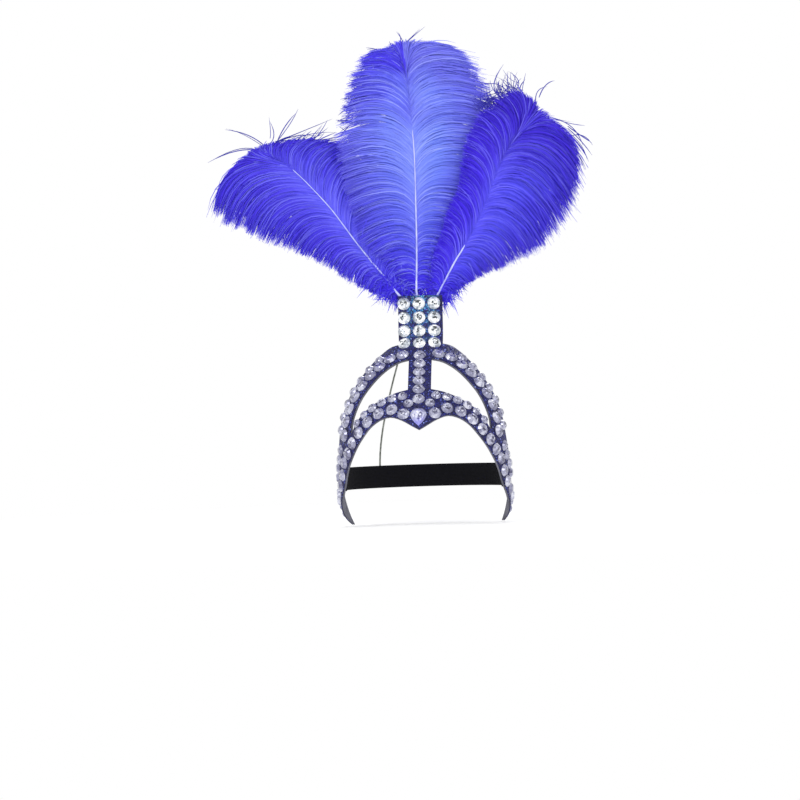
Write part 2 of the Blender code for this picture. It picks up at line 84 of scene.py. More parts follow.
# Level sections of the bent surface: height, half width, and its y where it is widest and in front.
SECTIONS = [
    (-105, 91, 0, -91), (-72, 92.5, 0, -93), (-30, 94, 0, -95), (0, 94, 0, -95), (15, 92, 3, -87.5),
    (28, 88.5, 7, -79), (42, 84, 12, -66), (59, 77, 22, -47), (70, 71.5, 29, -33.5), (76, 67, 33, -26),
    (82, 61.5, 37.5, -19), (86, 57, 41, -14), (92, 52, 46, -8), (98, 66, 62, -4), (112, 150, 152, 2.5),
    (124, 300, 306, 6), (140, 400, 408, 8.5), (150, 400, 409, 9),
]
# The right half of each cut edge, from the centre outwards, as round and height.
ARCH_REAR_EDGE = [
    (24.5, 93), (34, 90.8), (48.5, 82.2), (62, 71.6), (76.5, 59), (90.5, 45), (103, 30.5),
    (111.2, 15.2), (115.5, 1.5), (120, -11), (126, -23), (135, -39), (145, -55.5), (156.5, -73),
    (169, -89), (181, -104),
]
BROW_FRONT_EDGE = [
    (0, 0.5), (8, 5), (19, 11.2), (32.4, 15), (44, 12.3), (57, 4.7), (70.5, -8.5), (81, -19.5),
    (88.5, -28), (96.5, -37.5), (103, -47), (111, -60), (126.5, -73.5), (150, -88.5), (167.5, -98),
    (181, -104),
]
WINDOW_ARCH_EDGE = [
    (12.5, 77), (24.5, 74.2), (34.6, 69.3), (46.5, 61.2), (59.5, 50), (73, 36), (82.5, 21.5), (88, 7),
    (88.5, -1),
]
WINDOW_BROW_EDGE = [
    (12.5, 43), (23.7, 40.5), (34.8, 36.7), (47, 31.2), (60, 24), (74.2, 13), (84, 1), (87, -3),
]


def smooth_value(rows, at):
    """The columns after the first, at values of the first, on a smooth curve through the rows."""
    table = np.array(rows, float)
    knots, values = table[:, 0], table[:, 1:]
    slopes = np.gradient(values, knots, axis=0)
    at = np.clip(np.atleast_1d(np.asarray(at, float)), knots[0], knots[-1])
    low = np.clip(np.searchsorted(knots, at) - 1, 0, len(knots) - 2)
    span = (knots[low + 1] - knots[low])[:, None]
    t = (at - knots[low])[:, None] / span
    start = (2 * t**3 - 3 * t**2 + 1) * values[low] + (t**3 - 2 * t**2 + t) * span * slopes[low]
    end = (3 * t**2 - 2 * t**3) * values[low + 1] + (t**3 - t**2) * span * slopes[low + 1]
    return start + end


def bend(round_, height, lift=0.0):
    """Points of the bent surface, raised off it by lift along its outward normal."""
    round_, height = np.atleast_1d(round_).astype(float), np.atleast_1d(height).astype(float)
    half_width, widest_y, front_y = smooth_value(SECTIONS, height).T
    angle = round_ / half_width
    depth = widest_y - (widest_y - front_y) * np.cos(angle)
    points = np.column_stack([half_width * np.sin(angle), depth, height])
    return points if lift == 0 else points + lift * outward(round_, height)


def unit(vectors):
    """The vectors, each brought to a length of one."""
    return vectors / np.maximum(np.linalg.norm(vectors, axis=-1, keepdims=True), 1e-6)


def across_and_up(round_, height):
    """How the bent surface runs across and up at the places, over a millimetre each way."""
    across = bend(round_ + 0.5, height) - bend(round_ - 0.5, height)
    up = bend(round_, height + 0.5) - bend(round_, height - 0.5)
    return across, up


def outward(round_, height):
    """The bent surface's normals, out of the crown."""
    return unit(np.cross(*across_and_up(round_, height)))


def smooth_path(points, step, measure=lambda points: points):
    """Evenly spaced points on a smooth curve through the given ones, a step apart as measured."""
    points = np.array(points, float)
    if len(points) == 1:
        return points
    along = np.concatenate([[0], np.cumsum(np.linalg.norm(np.diff(points, axis=0), axis=1))])
    fine = smooth_value(np.column_stack([along, points]), np.linspace(0, along[-1], 40 * len(points)))
    walked = np.linalg.norm(np.diff(measure(fine), axis=0), axis=1)
    walked = np.concatenate([[0], np.cumsum(walked)])
    count = max(int(round(walked[-1] / step)), 1)
    stops = np.linspace(0, walked[-1], count + 1)
    return np.column_stack([np.interp(stops, walked, column) for column in fine.T])


def inside(points, outline):
    """Which flat points lie inside a closed outline."""
    x, y = np.array(points, float).T[:, :, None]
    (x0, y0), (x1, y1) = outline.T, np.roll(outline, -1, axis=0).T
    with np.errstate(divide="ignore", invalid="ignore"):
        beyond = x < (x1 - x0) * (y - y0) / (y1 - y0) + x0
    return (((y0 > y) != (y1 > y)) & beyond).sum(axis=1) % 2 == 1


def half_pattern():
    """Points and triangles of the right half of the flat pattern, with its window cut out."""
    cell = PATTERN_CELL
    side_levels = np.linspace(PLATE_TOP, PLATE_FOOT, SIDE_POINTS)[:-1]
    plate = [(PLATE_HALF_WIDTH, height) for height in side_levels]
    rear = smooth_path(ARCH_REAR_EDGE, cell)
    front = smooth_path(BROW_FRONT_EDGE, cell)[::-1]
    middle = [(0, height) for height in np.linspace(front[-1][1], PLATE_TOP, MIDDLE_POINTS)[1:]]
    top = [(across, PLATE_TOP) for across in np.linspace(0, PLATE_HALF_WIDTH, TOP_POINTS)[1:-1]]
    outline = np.array([*plate, *rear[:-1], *front, *middle, *top], float)
    post = [(POST_HALF_WIDTH, height) for height in np.linspace(POST_FOOT, POST_TOP, POST_POINTS)[1:-1]]
    window = [*smooth_path(WINDOW_ARCH_EDGE, cell), *smooth_path(WINDOW_BROW_EDGE, cell)[::-1], *post]
    window = np.array(window, float)
    rim = np.concatenate([outline, window])
    lattice = []
    for row, height in enumerate(np.arange(LOWEST_CELLS, PLATE_TOP, cell * ROW_SPACING)):
        across = np.arange(cell * (0.5 + 0.5 * (row % 2)), outline[:, 0].max(), cell)
        places = np.column_stack([across, np.full(len(across), height)])
        apart = np.linalg.norm(rim[None] - places[:, None], axis=2).min(axis=1)
        clear = apart > cell * RIM_CLEARANCE
        lattice += list(places[clear & inside(places, outline) & ~inside(places, window)])
    loops = []
    for first, loop in ((0, outline), (len(outline), window)):
        loops += [(first + i, first + (i + 1) % len(loop)) for i in range(len(loop))]
    places = [Vector(place) for place in [*rim, *lattice]]
    points, _, triangles = geometry.delaunay_2d_cdt(places, loops, [], 1, 1e-4)[:3]
    points = np.array([tuple(point) for point in points])
    triangles = np.array([tuple(triangle) for triangle in triangles])
    centres = points[triangles].mean(axis=1)
    kept = inside(centres, outline) & ~inside(centres, window)
    return points, triangles[kept]


def select_only(*pieces):
    """Selects those pieces alone, and makes the first the active one."""
    bpy.ops.object.select_all(action="DESELECT")
    for piece in pieces:
        piece.select_set(True)
    bpy.context.view_layer.objects.active = pieces[0]


def start_piece(name, points, faces):
    """A new mesh object of that name, active and selected alone."""
    mesh = bpy.data.meshes.new(name)
    corners = [tuple(int(i) for i in face) for face in faces]
    mesh.from_pydata([tuple(point) for point in points], [], corners)
    piece = bpy.data.objects.new(name, mesh)
    bpy.context.scene.collection.objects.link(piece)
    select_only(piece)
    return piece


def add_modifier(piece, kind, **settings):
    """Adds a modifier to the active piece with its settings, and applies it."""
    modifier = piece.modifiers.new(kind.lower(), kind)
    for setting, value in settings.items():
        setattr(modifier, setting, value)
    bpy.ops.object.modifier_apply(modifier=modifier.name)


def soften_edges(piece, width):
    """Rounds off a piece's cut edges, all over."""
    facets = {"segments": 2, "limit_method": "ANGLE", "angle_limit": CUT_EDGE_ANGLE}
    add_modifier(piece, "BEVEL", width=width, **facets)


def bend_points(piece, bent):
    """Moves each point of a flat piece to where bent says, given its three coordinates."""
    flat = np.zeros(len(piece.data.vertices) * 3)
    piece.data.vertices.foreach_get("co", flat)
    points = bent(*flat.reshape(-1, 3).T) * METRES_PER_MM
    piece.data.vertices.foreach_set("co", points.ravel())
    piece.data.update()


def cut_sheet(name, pattern, inner, outer, rounding):
    """A sheet of the frame's outline between two lifts off the bent surface, its cut edges softened."""
    points, triangles = pattern
    sheet = start_piece(name, np.column_stack([points, np.zeros(len(points))]), triangles)
    add_modifier(sheet, "MIRROR", merge_threshold=0.01)
    bend_points(sheet, lambda round_, height, _: bend(round_, height, (inner + outer) / 2))
    thickness = (outer - inner) * METRES_PER_MM
    add_modifier(sheet, "SOLIDIFY", thickness=thickness, offset=0, use_even_offset=True)
    soften_edges(sheet, rounding * METRES_PER_MM)
    bpy.ops.object.mode_set(mode="EDIT")
    bpy.ops.mesh.select_all(action="SELECT")
    bpy.ops.mesh.normals_make_consistent(inside=False)
    bpy.ops.object.mode_set(mode="OBJECT")
    bpy.ops.object.shade_smooth_by_angle(angle=SMOOTH_ANGLE)
    return sheet


def hex_colour(code):
    """An sRGB hex colour as Blender's linear one."""
    parts = [int(code[i:i + 2], 16) / 255 for i in (0, 2, 4)]
    linear = [part / 12.92 if part <= 0.04045 else ((part + 0.055) / 1.055) ** 2.4 for part in parts]
    return (*linear, 1.0)


def new_material(name, colour, roughness, metallic=0.0, **sockets):
    """A node material with its shader's constant values, and its tree and shader."""
    made = bpy.data.materials.new(name)
    made.use_nodes = True
    tree = made.node_tree
    shader = tree.nodes["Principled BSDF"]
    shader.inputs["Base Color"].default_value = hex_colour(colour)
    shader.inputs["Roughness"].default_value = roughness
    shader.inputs["Metallic"].default_value = metallic
    for socket, value in sockets.items():
        shader.inputs[socket.replace("_", " ")].default_value = value
    return made, tree, shader


def feed(node, socket, source):
    """Feeds a node's socket from another socket, or from the first output in use of another node."""
    if isinstance(source, bpy.types.Node):
        source = next(output for output in source.outputs if output.enabled)
    node.id_data.links.new(source, node.inputs[socket])


def add_node(tree, kind, inputs, stops=(), **settings):
    """Adds a node. Each input is a value, or what feeds it; stops are a ramp's places and colours."""
    node = tree.nodes.new("ShaderNode" + kind)
    for setting, value in settings.items():
        setattr(node, setting, value)
    for socket, value in inputs.items():
        if isinstance(value, (bpy.types.Node, bpy.types.NodeSocket)):
            feed(node, socket, value)
        else:
            node.inputs[socket].default_value = value
    if stops:
        elements = node.color_ramp.elements
        while len(elements) < len(stops):
            elements.new(1.0)
        for element, (place, code) in zip(elements, stops):
            element.position = place
            element.color = hex_colour(code)
    return node


# EVA craft foam, cut with a blade: a matt grey with fine closed cells that show as a faint grain.
FOAM_GRAIN_MM = 0.9
FOAM_CLOUD_MM = 22
foam, tree, shader = new_material("grey craft foam, blade cut", "70707c", 0.88, Specular_IOR_Level=0.3)
place = add_node(tree, "TexCoord", {}).outputs["Object"]
grain = add_node(
    tree, "TexNoise", {"Vector": place, "Scale": 1000 / FOAM_GRAIN_MM, "Detail": 3.0, "Roughness": 0.7}
)
cloud = add_node(tree, "TexNoise", {"Vector": place, "Scale": 1000 / FOAM_CLOUD_MM, "Detail": 2.0})
tone = add_node(tree, "ValToRGB", {"Fac": cloud}, stops=[(0.35, "646470"), (0.68, "7c7c88")])
fleck = add_node(tree, "ValToRGB", {"Fac": grain}, stops=[(0.3, "9a9a9a"), (0.7, "ffffff")])
mixed = add_node(tree, "Mix", {0: 0.6, 6: tone, 7: fleck}, data_type="RGBA", blend_type="MULTIPLY")
feed(shader, "Base Color", mixed)
feed(shader, "Normal", add_node(tree, "Bump", {"Strength": 0.5, "Distance": 0.0002, "Height": grain}))

pattern = half_pattern()
foam_frame = cut_sheet("foam_frame", pattern, -FOAM_THICKNESS, 0.0, FOAM_ROUNDING)
foam_frame.data.materials.append(foam)
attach(foam_frame, "root")
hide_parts("foam_backing")

# The facing: navy fabric with glitter bonded to it, cut to the same outline and glued over the front
# of the foam. Its flakes of foil lie at all angles, so they catch light one by one.
GLUE_GAP = 0.3
FACING_THICKNESS = 1.0
FACING_TOP = GLUE_GAP + FACING_THICKNESS
FACING_ROUNDING = 0.2
FLAKE_MM = 1.3
FLAKE_TILT = 0.9
# Where the plate's flakes carry painted sky blue glints: their patches, their rise up the plate and
# their spread from its middle.
GLINT_PATCH_MM = 7
GLINT_FROM_Z = 0.088
GLINT_FULL_Z = 0.132
GLINT_NONE_BEYOND_X = 0.022
GLINT_FULL_WITHIN_X = 0.014
glitter, tree, shader = new_material(
    "navy glitter fabric, bonded flakes", "14144e", 0.5, 0.2, Specular_IOR_Level=0.4
)
place = add_node(tree, "TexCoord", {}).outputs["Object"]
# Real flakes are about 0.4 mm across, too fine for the render, so they are drawn as 1.3 mm ones.
flakes = add_node(tree, "TexVoronoi", {"Vector": place, "Scale": 1000 / FLAKE_MM, "Randomness": 0.9})
flake = flakes.outputs["Color"]
luck_of = add_node(tree, "SeparateColor", {"Color": flake}).outputs
navies = [(0.0, "090932"), (0.55, "10104a"), (0.86, "1a1a68"), (0.95, "363e9e"), (1.0, "8f9fe6")]
navy = add_node(tree, "ValToRGB", {"Fac": luck_of["Red"]}, stops=navies)
# Painted glints: flakes coloured sky blue, standing in for reflected light, are mixed in on the plate:
# more of them higher up, near its middle and in patches.
spot = add_node(tree, "SeparateXYZ", {"Vector": place}).outputs
higher = add_node(
    tree, "MapRange", {"Value": spot["Z"], "From Min": GLINT_FROM_Z, "From Max": GLINT_FULL_Z, "To Max": 0.8}
)
patches = add_node(tree, "TexNoise", {"Vector": place, "Scale": 1000 / GLINT_PATCH_MM, "Detail": 2.0})
speckled = add_node(tree, "Math", {0: luck_of["Blue"], 1: 0.35, 2: patches}, operation="MULTIPLY_ADD")
patchy = add_node(tree, "MapRange", {"Value": speckled, "From Min": 0.62, "From Max": 0.82})
off_middle = add_node(tree, "Math", {0: spot["X"]}, operation="ABSOLUTE")
middle = add_node(
    tree, "MapRange",
    {"Value": off_middle, "From Min": GLINT_NONE_BEYOND_X, "From Max": GLINT_FULL_WITHIN_X},
)
painted_glint = add_node(tree, "Math", {0: higher, 1: patchy}, operation="MULTIPLY")
painted_glint = add_node(tree, "Math", {0: painted_glint, 1: middle}, operation="MULTIPLY")
# The painted glints' sky blues, a painted reflection.
painted_glint_blues = [(0.0, "1c3a86"), (0.5, "2f86c4"), (1.0, "7cc6ee")]
blue = add_node(tree, "ValToRGB", {"Fac": luck_of["Green"]}, stops=painted_glint_blues)
feed(shader, "Base Color", add_node(tree, "Mix", {0: painted_glint, 6: navy, 7: blue}, data_type="RGBA"))
centred = add_node(tree, "VectorMath", {0: flake, 1: (0.5, 0.5, 0.5)}, operation="SUBTRACT")
tilted = add_node(tree, "VectorMath", {0: centred, 1: [FLAKE_TILT] * 3}, operation="MULTIPLY")
facing_out = add_node(tree, "NewGeometry", {}).outputs["Normal"]
leaning = add_node(tree, "VectorMath", {0: tilted, 1: facing_out}, operation="ADD")
feed(shader, "Normal", add_node(tree, "VectorMath", {0: leaning}, operation="NORMALIZE"))

facing = cut_sheet("glitter_fabric_facing", pattern, GLUE_GAP, FACING_TOP, FACING_ROUNDING)
facing.data.materials.append(glitter)
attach(facing, "root")
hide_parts("glitter_facing")

# The stones: round flat-backed acrylic stones with a foiled back, glued on in rows. One is cut here,
# of unit width: a girdle, a crown of facets and a flat table, and each is a copy of it. The foil's
# reflections through the crown are painted on: each facet carries a painted tone of its own, in wedges
# of painted light and shade.
STONE_DIAMETER = 14.0
POST_STONE_DIAMETER = 13.6
STONE_RISE = 3.2
STONE_SPACING = 0.45
TABLE_SHARE = 0.56
GIRDLE = 0.8
STONE_SIDES = 16
PEAR_WIDTH = 18.0
PEAR_LENGTH = 22.0
GLUE_LINE = 0.1
LOWER_CROWN_WIDTH = 0.13
LOWER_CROWN_SHARE = 0.72
TABLE_RIM = 0.1
SEAT_LIFT = FACING_TOP - GLUE_LINE
FACET_ANGLE = 2 * pi / STONE_SIDES
# The facets lie in three rings: how far out the first two reach, how light each ring's painted
# reflection is, and how far its painted wedges of light and shade differ, from the middle outwards.
RING_REACH = (0.17, 0.29)
RING_PAINTED_LIGHT = (-0.05, 0.0, 0.16)
RING_SPREAD = (0.55, 0.45, 0.2)


def pick_table(stone):
    """In edit mode, selects only the level faces on top."""
    bpy.ops.mesh.select_mode(type="FACE")
    bpy.ops.mesh.select_all(action="DESELECT")
    bpy.ops.object.mode_set(mode="OBJECT")
    for face in stone.data.polygons:
        face.select = face.normal.z > 0.999
    bpy.ops.object.mode_set(mode="EDIT")


def cut_stone():
    """A round stone one unit across, its back at zero, with its table and crown faceted."""
    depth, rise = GIRDLE / STONE_DIAMETER, STONE_RISE / STONE_DIAMETER
    bpy.ops.object.select_all(action="DESELECT")
    bpy.ops.mesh.primitive_cylinder_add(
        vertices=STONE_SIDES, radius=0.5, depth=depth, location=(0, 0, depth / 2), end_fill_type="NGON"
    )
    stone = bpy.context.object
    bpy.ops.object.transform_apply(location=True, rotation=True, scale=True)
    bpy.ops.object.mode_set(mode="EDIT")
    upper_crown_width = 0.5 * (1 - TABLE_SHARE) - LOWER_CROWN_WIDTH
    crown = [(LOWER_CROWN_WIDTH, LOWER_CROWN_SHARE), (upper_crown_width, 1 - LOWER_CROWN_SHARE)]
    for width, share in [*crown, (TABLE_RIM, 0)]:
        pick_table(stone)
        bpy.ops.mesh.inset(thickness=width, depth=rise * share)
    pick_table(stone)
    bpy.ops.mesh.poke(offset=0)
    bpy.ops.object.mode_set(mode="OBJECT")
    return stone


def seat_at(round_, height):
    """The place of a stone's back on the facing: Z out of the crown, Y up along the surface."""
    out = Vector(outward(round_, height)[0])
    up = Vector(across_and_up(round_, height)[1][0])
    up = (up - up.dot(out) * out).normalized()
    turned = Matrix((up.cross(out), up, out)).transposed().to_4x4()
    return Matrix.Translation(bend(round_, height, SEAT_LIFT)[0]) @ turned


def painted_facet_reflections(stone, luck):
    """A painted reflection tone for each facet, from dark at 0 to white at 1. The foil's painted wedges
    of reflected light and shade run from the middle out, in eighths, and one side of the stone is
    painted brighter, as if the light fell from there.
    """
    painted_lit_side = luck.uniform(0, 2 * pi)
    reflection_wedges = luck.uniform(-1, 1, (3, 8))
    tones = []
    for face in stone.data.polygons:
        x, y, _ = face.center
        turn = np.arctan2(y, x)
        apart = np.hypot(x, y)
        ring = sum(apart >= reach for reach in RING_REACH)
        wedge = int((turn / pi + 1) * 4 + 0.5 * ring) % 8
        # Painted light: one side of the stone is lighter, and each ring lighter or darker than the
        # others.
        lean = 0.12 * np.cos(turn - painted_lit_side) + RING_PAINTED_LIGHT[ring]
        tones.append(0.5 + lean + RING_SPREAD[ring] * reflection_wedges[ring, wedge] + luck.uniform(-0.18, 0.18))
    return np.clip(tones, 0, 1).astype(np.float32)


def set_stone(name, pattern_stone, seat, width, turn, foiled, luck):
    """A copy of the stone on its seat, each facet with a painted reflection tone. The widest rise no
    more than others.
    """
    stone = bpy.data.objects.new(name, pattern_stone.data.copy())
    bpy.context.scene.collection.objects.link(stone)
    size = Matrix.Diagonal((width, width, min(width, STONE_DIAMETER), 1.0))
    stone.data.transform(Matrix.Scale(METRES_PER_MM, 4) @ seat @ size @ Matrix.Rotation(turn, 4, "Z"))
    tones = stone.data.attributes.new("painted_reflection_tone", "FLOAT", "FACE")
    tones.data.foreach_set("value", painted_facet_reflections(pattern_stone, luck))
    stone.data.materials.append(foiled)
    return stone


def foiled_stone(name, stops):
    """Acrylic over silver foil: the facets' mirror-like reflections are painted, in tones from dark to
    white, under a glossy top.
    """
    made, tree, shader = new_material(name, "d8d8e8", 0.14, 0.35, Coat_Weight=0.8, Coat_Roughness=0.03)
    tone = add_node(tree, "Attribute", {}, attribute_name="painted_reflection_tone", attribute_type="GEOMETRY")
    feed(shader, "Base Color", add_node(tree, "ValToRGB", {"Fac": tone.outputs["Fac"]}, stops=stops))
    return made


# Painted reflections: each ramp runs from a facet's painted dark to its painted white.
silver_stone = foiled_stone(
    "clear acrylic, silver foiled",
    [(0.0, "1e2328"), (0.22, "565c64"), (0.42, "a2a9b2"), (0.62, "d8dee4"), (0.85, "ffffff")],
)
lavender_stone = foiled_stone(
    "lavender acrylic, silver foiled",
    [(0.0, "1a1838"), (0.22, "444264"), (0.5, "7c7c98"), (0.76, "a0a1b8"), (1.0, "d2d3e0")],
)

# Stones set in rows along the right half of the frame, in the order they are glued. A row's nested
# stones sit beside it, one between each two of its own. Places are as round and height.
StoneRow = namedtuple("StoneRow", "diameter pitch nested path")
STONE_ROWS = {
    "brow_lower": StoneRow(13.6, 14.7, 0, [
        (16.8, 17.2), (29, 22), (41.5, 19.8), (56, 12.6), (69.5, 2), (82.5, -10),
        (94.5, -23.5),
    ]),
    "brow_second": StoneRow(11, 12.4, 0, [(10.9, 28.2)]),
    "brow_upper": StoneRow(11, 12.4, 0, [(18, 36), (30, 34), (42, 30), (54, 24)]),
    "brow_end": StoneRow(9.5, 12.0, 0, [(65, 17), (75.5, 7.5)]),
    "arch_main": StoneRow(14, 15.6, 11.5, [
        (34.6, 76.6), (44.2, 70.8), (52.5, 65), (67.5, 52.4), (80.7, 39.2),
        (91.6, 23.8), (98, 8), (100.5, -4),
    ]),
    "arm_front": StoneRow(13.6, 14.7, 0, [
        (102.5, -34.5), (109, -44), (118, -57), (131, -66.5), (144.5, -75),
    ]),
    "arm_rear": StoneRow(12, 14.2, 0, [(112.5, -20), (123, -36), (133, -50)]),
    "arm_tip": StoneRow(10, 12.0, 0, [(155, -82), (164, -90)]),
}
POST_STONE_HEIGHTS = [80.2, 71, 61.9, 52.5, 43, 32.6]
POST_STONE_ROUND = -0.7
SHOULDER_STONE = (19.8, 81)
PEAR_STONE = (-0.7, 13.4)
PLATE_STONE_HEIGHTS = [138.6, 122.8, 108, 94]
PLATE_STONE_ROUNDS = [-18, -1.5, 15]
NUDGE = 0.25
MOST_NUDGES = 80


def beside(place, along, distance):
    """A place moved over the bent surface, square to the direction along it and to its left."""
    across, up = (way[0] for way in across_and_up(*place))
    left = unit(np.cross(outward(*place)[0], across * along[0] + up * along[1])) * distance
    shares = np.array([[across @ across, across @ up], [across @ up, up @ up]])
    return place + np.linalg.solve(shares, [across @ left, up @ left])


def field_places():
    """The rows' stones on the right half. Each slides to its row's left until it clears the rest."""
    taken = [(0, PEAR_STONE[1], PEAR_WIDTH), (*SHOULDER_STONE, STONE_DIAMETER)]
    taken += [(0, height, POST_STONE_DIAMETER) for height in POST_STONE_HEIGHTS]
    for round_ in PLATE_STONE_ROUNDS:
        taken += [(abs(round_), height, STONE_DIAMETER) for height in PLATE_STONE_HEIGHTS]
    first = len(taken)

    def touches(place, diameter):
        others = np.array(taken, float)
        apart = np.linalg.norm(bend(others[:, 0], others[:, 1]) - bend(*place), axis=1)
        near = apart < (others[:, 2] + diameter) / 2 + STONE_SPACING
        return place[0] < (diameter + STONE_SPACING) / 2 or near.any()

    def glue(place, along, diameter):
        for _ in range(MOST_NUDGES):
            if touches(place, diameter):
                place = beside(place, along, NUDGE)
        taken.append((*place, diameter))

    for row in STONE_ROWS.values():
        path = smooth_path(row.path, row.pitch, lambda cuts: bend(cuts[:, 0], cuts[:, 1]))
        for i, place in enumerate(path):
            along = path[min(i + 1, len(path) - 1)] - path[max(i - 1, 0)]
            glue(place, along if len(path) > 1 else (0, -1), row.diameter)
        for place, after in zip(path, path[1:]) if row.nested else ():
            glue((place + after) / 2, after - place, row.nested)
    return taken[first:]


stone_luck = np.random.default_rng(41)
cut = cut_stone()
field = []
for round_, height, diameter in field_places():
    for side in (-1, 1):
        turn = stone_luck.uniform(0, FACET_ANGLE)
        seat = seat_at(side * round_, height)
        field.append(set_stone("field_stone", cut, seat, diameter, turn, lavender_stone, stone_luck))
select_only(*field)
bpy.ops.object.join()
field_stones = field[0]
field_stones.name = "field_of_stones"
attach(field_stones, "root")
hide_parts("glitter_facing")

# The large stones are pieces of their own: twelve on the plate, six down the post, one at each
# shoulder of the arch, and a pear-cut one over the brow's point. They are the same stone, cut larger.
plate = [(round_, height) for height in PLATE_STONE_HEIGHTS for round_ in PLATE_STONE_ROUNDS]
main_stones = [
    (f"plate_stone_{number:02d}", *place, STONE_DIAMETER, silver_stone)
    for number, place in enumerate(plate, 1)
]
main_stones += [
    (f"post_stone_{number}", POST_STONE_ROUND, height, POST_STONE_DIAMETER, lavender_stone)
    for number, height in enumerate(POST_STONE_HEIGHTS, 1)
]
for name, side in (("shoulder_stone_left", -1), ("shoulder_stone_right", 1)):
    round_, height = SHOULDER_STONE
    main_stones.append((name, side * round_, height, STONE_DIAMETER, lavender_stone))
for name, round_, height, diameter, foiled in main_stones:
    turn = stone_luck.uniform(0, FACET_ANGLE)
    seat = seat_at(round_, height)
    stone = set_stone(name + "_cut", cut, seat, diameter, turn, foiled, stone_luck)
    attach(stone, "root")
    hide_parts(name)


def pear_shaped(stone):
    """Draws the round stone's lower half down to a point, from one unit wide to the pear's length."""
    longer = PEAR_LENGTH / PEAR_WIDTH
    for vertex in stone.data.vertices:
        x, y, z = vertex.co
        if y < 0:
            share = min(-y / 0.5, 1.0)
            round_half = max((1 - share**2) ** 0.5, 0.02)
            drawn_half = (1 - share) * (1 + 0.6 * share)
            x *= drawn_half / round_half
            y *= 2 * longer - 1
        vertex.co = (x, y + (longer - 1) / 2, z)


# Where the pear's painted blue reflection starts, and where it is full.
PAINTED_BLUE_FROM_Z = 0.0145
PAINTED_BLUE_FULL_Z = 0.0085
pear_stone = bpy.data.objects.new("pear_cut", cut.data.copy())
pear_shaped(pear_stone)
blue_reflection_stone = foiled_stone(
    "lavender acrylic, blue foiled tip",
    [(0.0, "2c2a52"), (0.22, "5e5c8a"), (0.5, "9a9ac0"), (0.76, "c0c2dc"), (1.0, "ececf8")],
)
pear = set_stone(
    "brow_pear_stone_cut", pear_stone, seat_at(*PEAR_STONE), PEAR_WIDTH, 0.0, blue_reflection_stone, stone_luck
)
# A painted blue reflection lies over the stone from its middle down to its point.
tree = blue_reflection_stone.node_tree
shader = tree.nodes["Principled BSDF"]
tones = shader.inputs["Base Color"].links[0].from_socket
place = add_node(tree, "TexCoord", {}).outputs["Object"]
level = add_node(tree, "SeparateXYZ", {"Vector": place}).outputs["Z"]
tip = add_node(
    tree, "MapRange", {"Value": level, "From Min": PAINTED_BLUE_FROM_Z, "From Max": PAINTED_BLUE_FULL_Z, "To Max": 0.6}
)
blue_reflected = add_node(tree, "Mix", {0: tip, 6: tones, 7: hex_colour("7c7ae6")}, data_type="RGBA")
feed(shader, "Base Color", blue_reflected)
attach(pear, "root")
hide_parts("brow_pear_stone")
bpy.data.objects.remove(pear_stone)
bpy.data.objects.remove(cut)

# The plumes: dyed ostrich feathers. A horn quill carries long soft barbs on both sides, which arch
# over towards the tip and gather in thin locks, and each barb has a fringe of barbules. Short down
# covers the quill's base, and a few loose barbs stand away from the edge.
QUILL_RADIUS = 1.35
QUILL_TIP_RADIUS = 0.3
QUILL_SIDES = 8
QUILL_STREAK_MM = 14
BARBS_PER_SIDE = 3250
BARBS_AT_TIP = 600
BARB_DROOP = 10.0
BARB_REACH = 1.05
BARB_WIDTH = 1.05
BARB_BEHIND_QUILL = 0.6
BARB_OVER_QUILL = 1.9
SHORT_BARBS = 0.22
BARBULES_PER_BARB = 5
BARBULE_LENGTH = 3.2
LOCKS = 130
LOCK_PULL = 0.35
STRAY_SWAY = 3.2
DOWN_BARBS = 1600
DOWN_WIDTH = 0.75
BEHIND_PLATE = 12.2
LOOSE_BARB_PLACE = 1.4
DYE_CLOUD_MM = 45
BARB_STEPS = 9
ALONG_BARB = np.linspace(0, 1, BARB_STEPS)
BACKWARDS = (0.0, 1.0, 0.0)
# Across the plume, a dye's colours run from the left tips over the quill to the right ones: the dye's
# own colour, with painted shade deepening the tips and a painted highlight paling the quill. The
# crown's two colours, darkened partly by painted shade, come in from crown_from up the quill, the
# foot's fades out at foot_to, and some strands are lighter with painted highlights.
Dye = namedtuple("Dye", "name across crown crown_from foot_to light")
# How far a barb runs ahead along the quill and out to its end before it turns over, as shares of its
# length, the place on the quill from which the barbs close over it in front, how many stray out of
# order, how far the locks' ends differ, and how wide the down spreads at the foot.
Habit = namedtuple("Habit", "ahead out quill_shown strays ragged foot_spread")
# Short loose barbs stand up in a tangle along a stretch of the outline.
Tangle = namedtuple("Tangle", "start_x start_z end_x end_z lean_degrees length curl count")
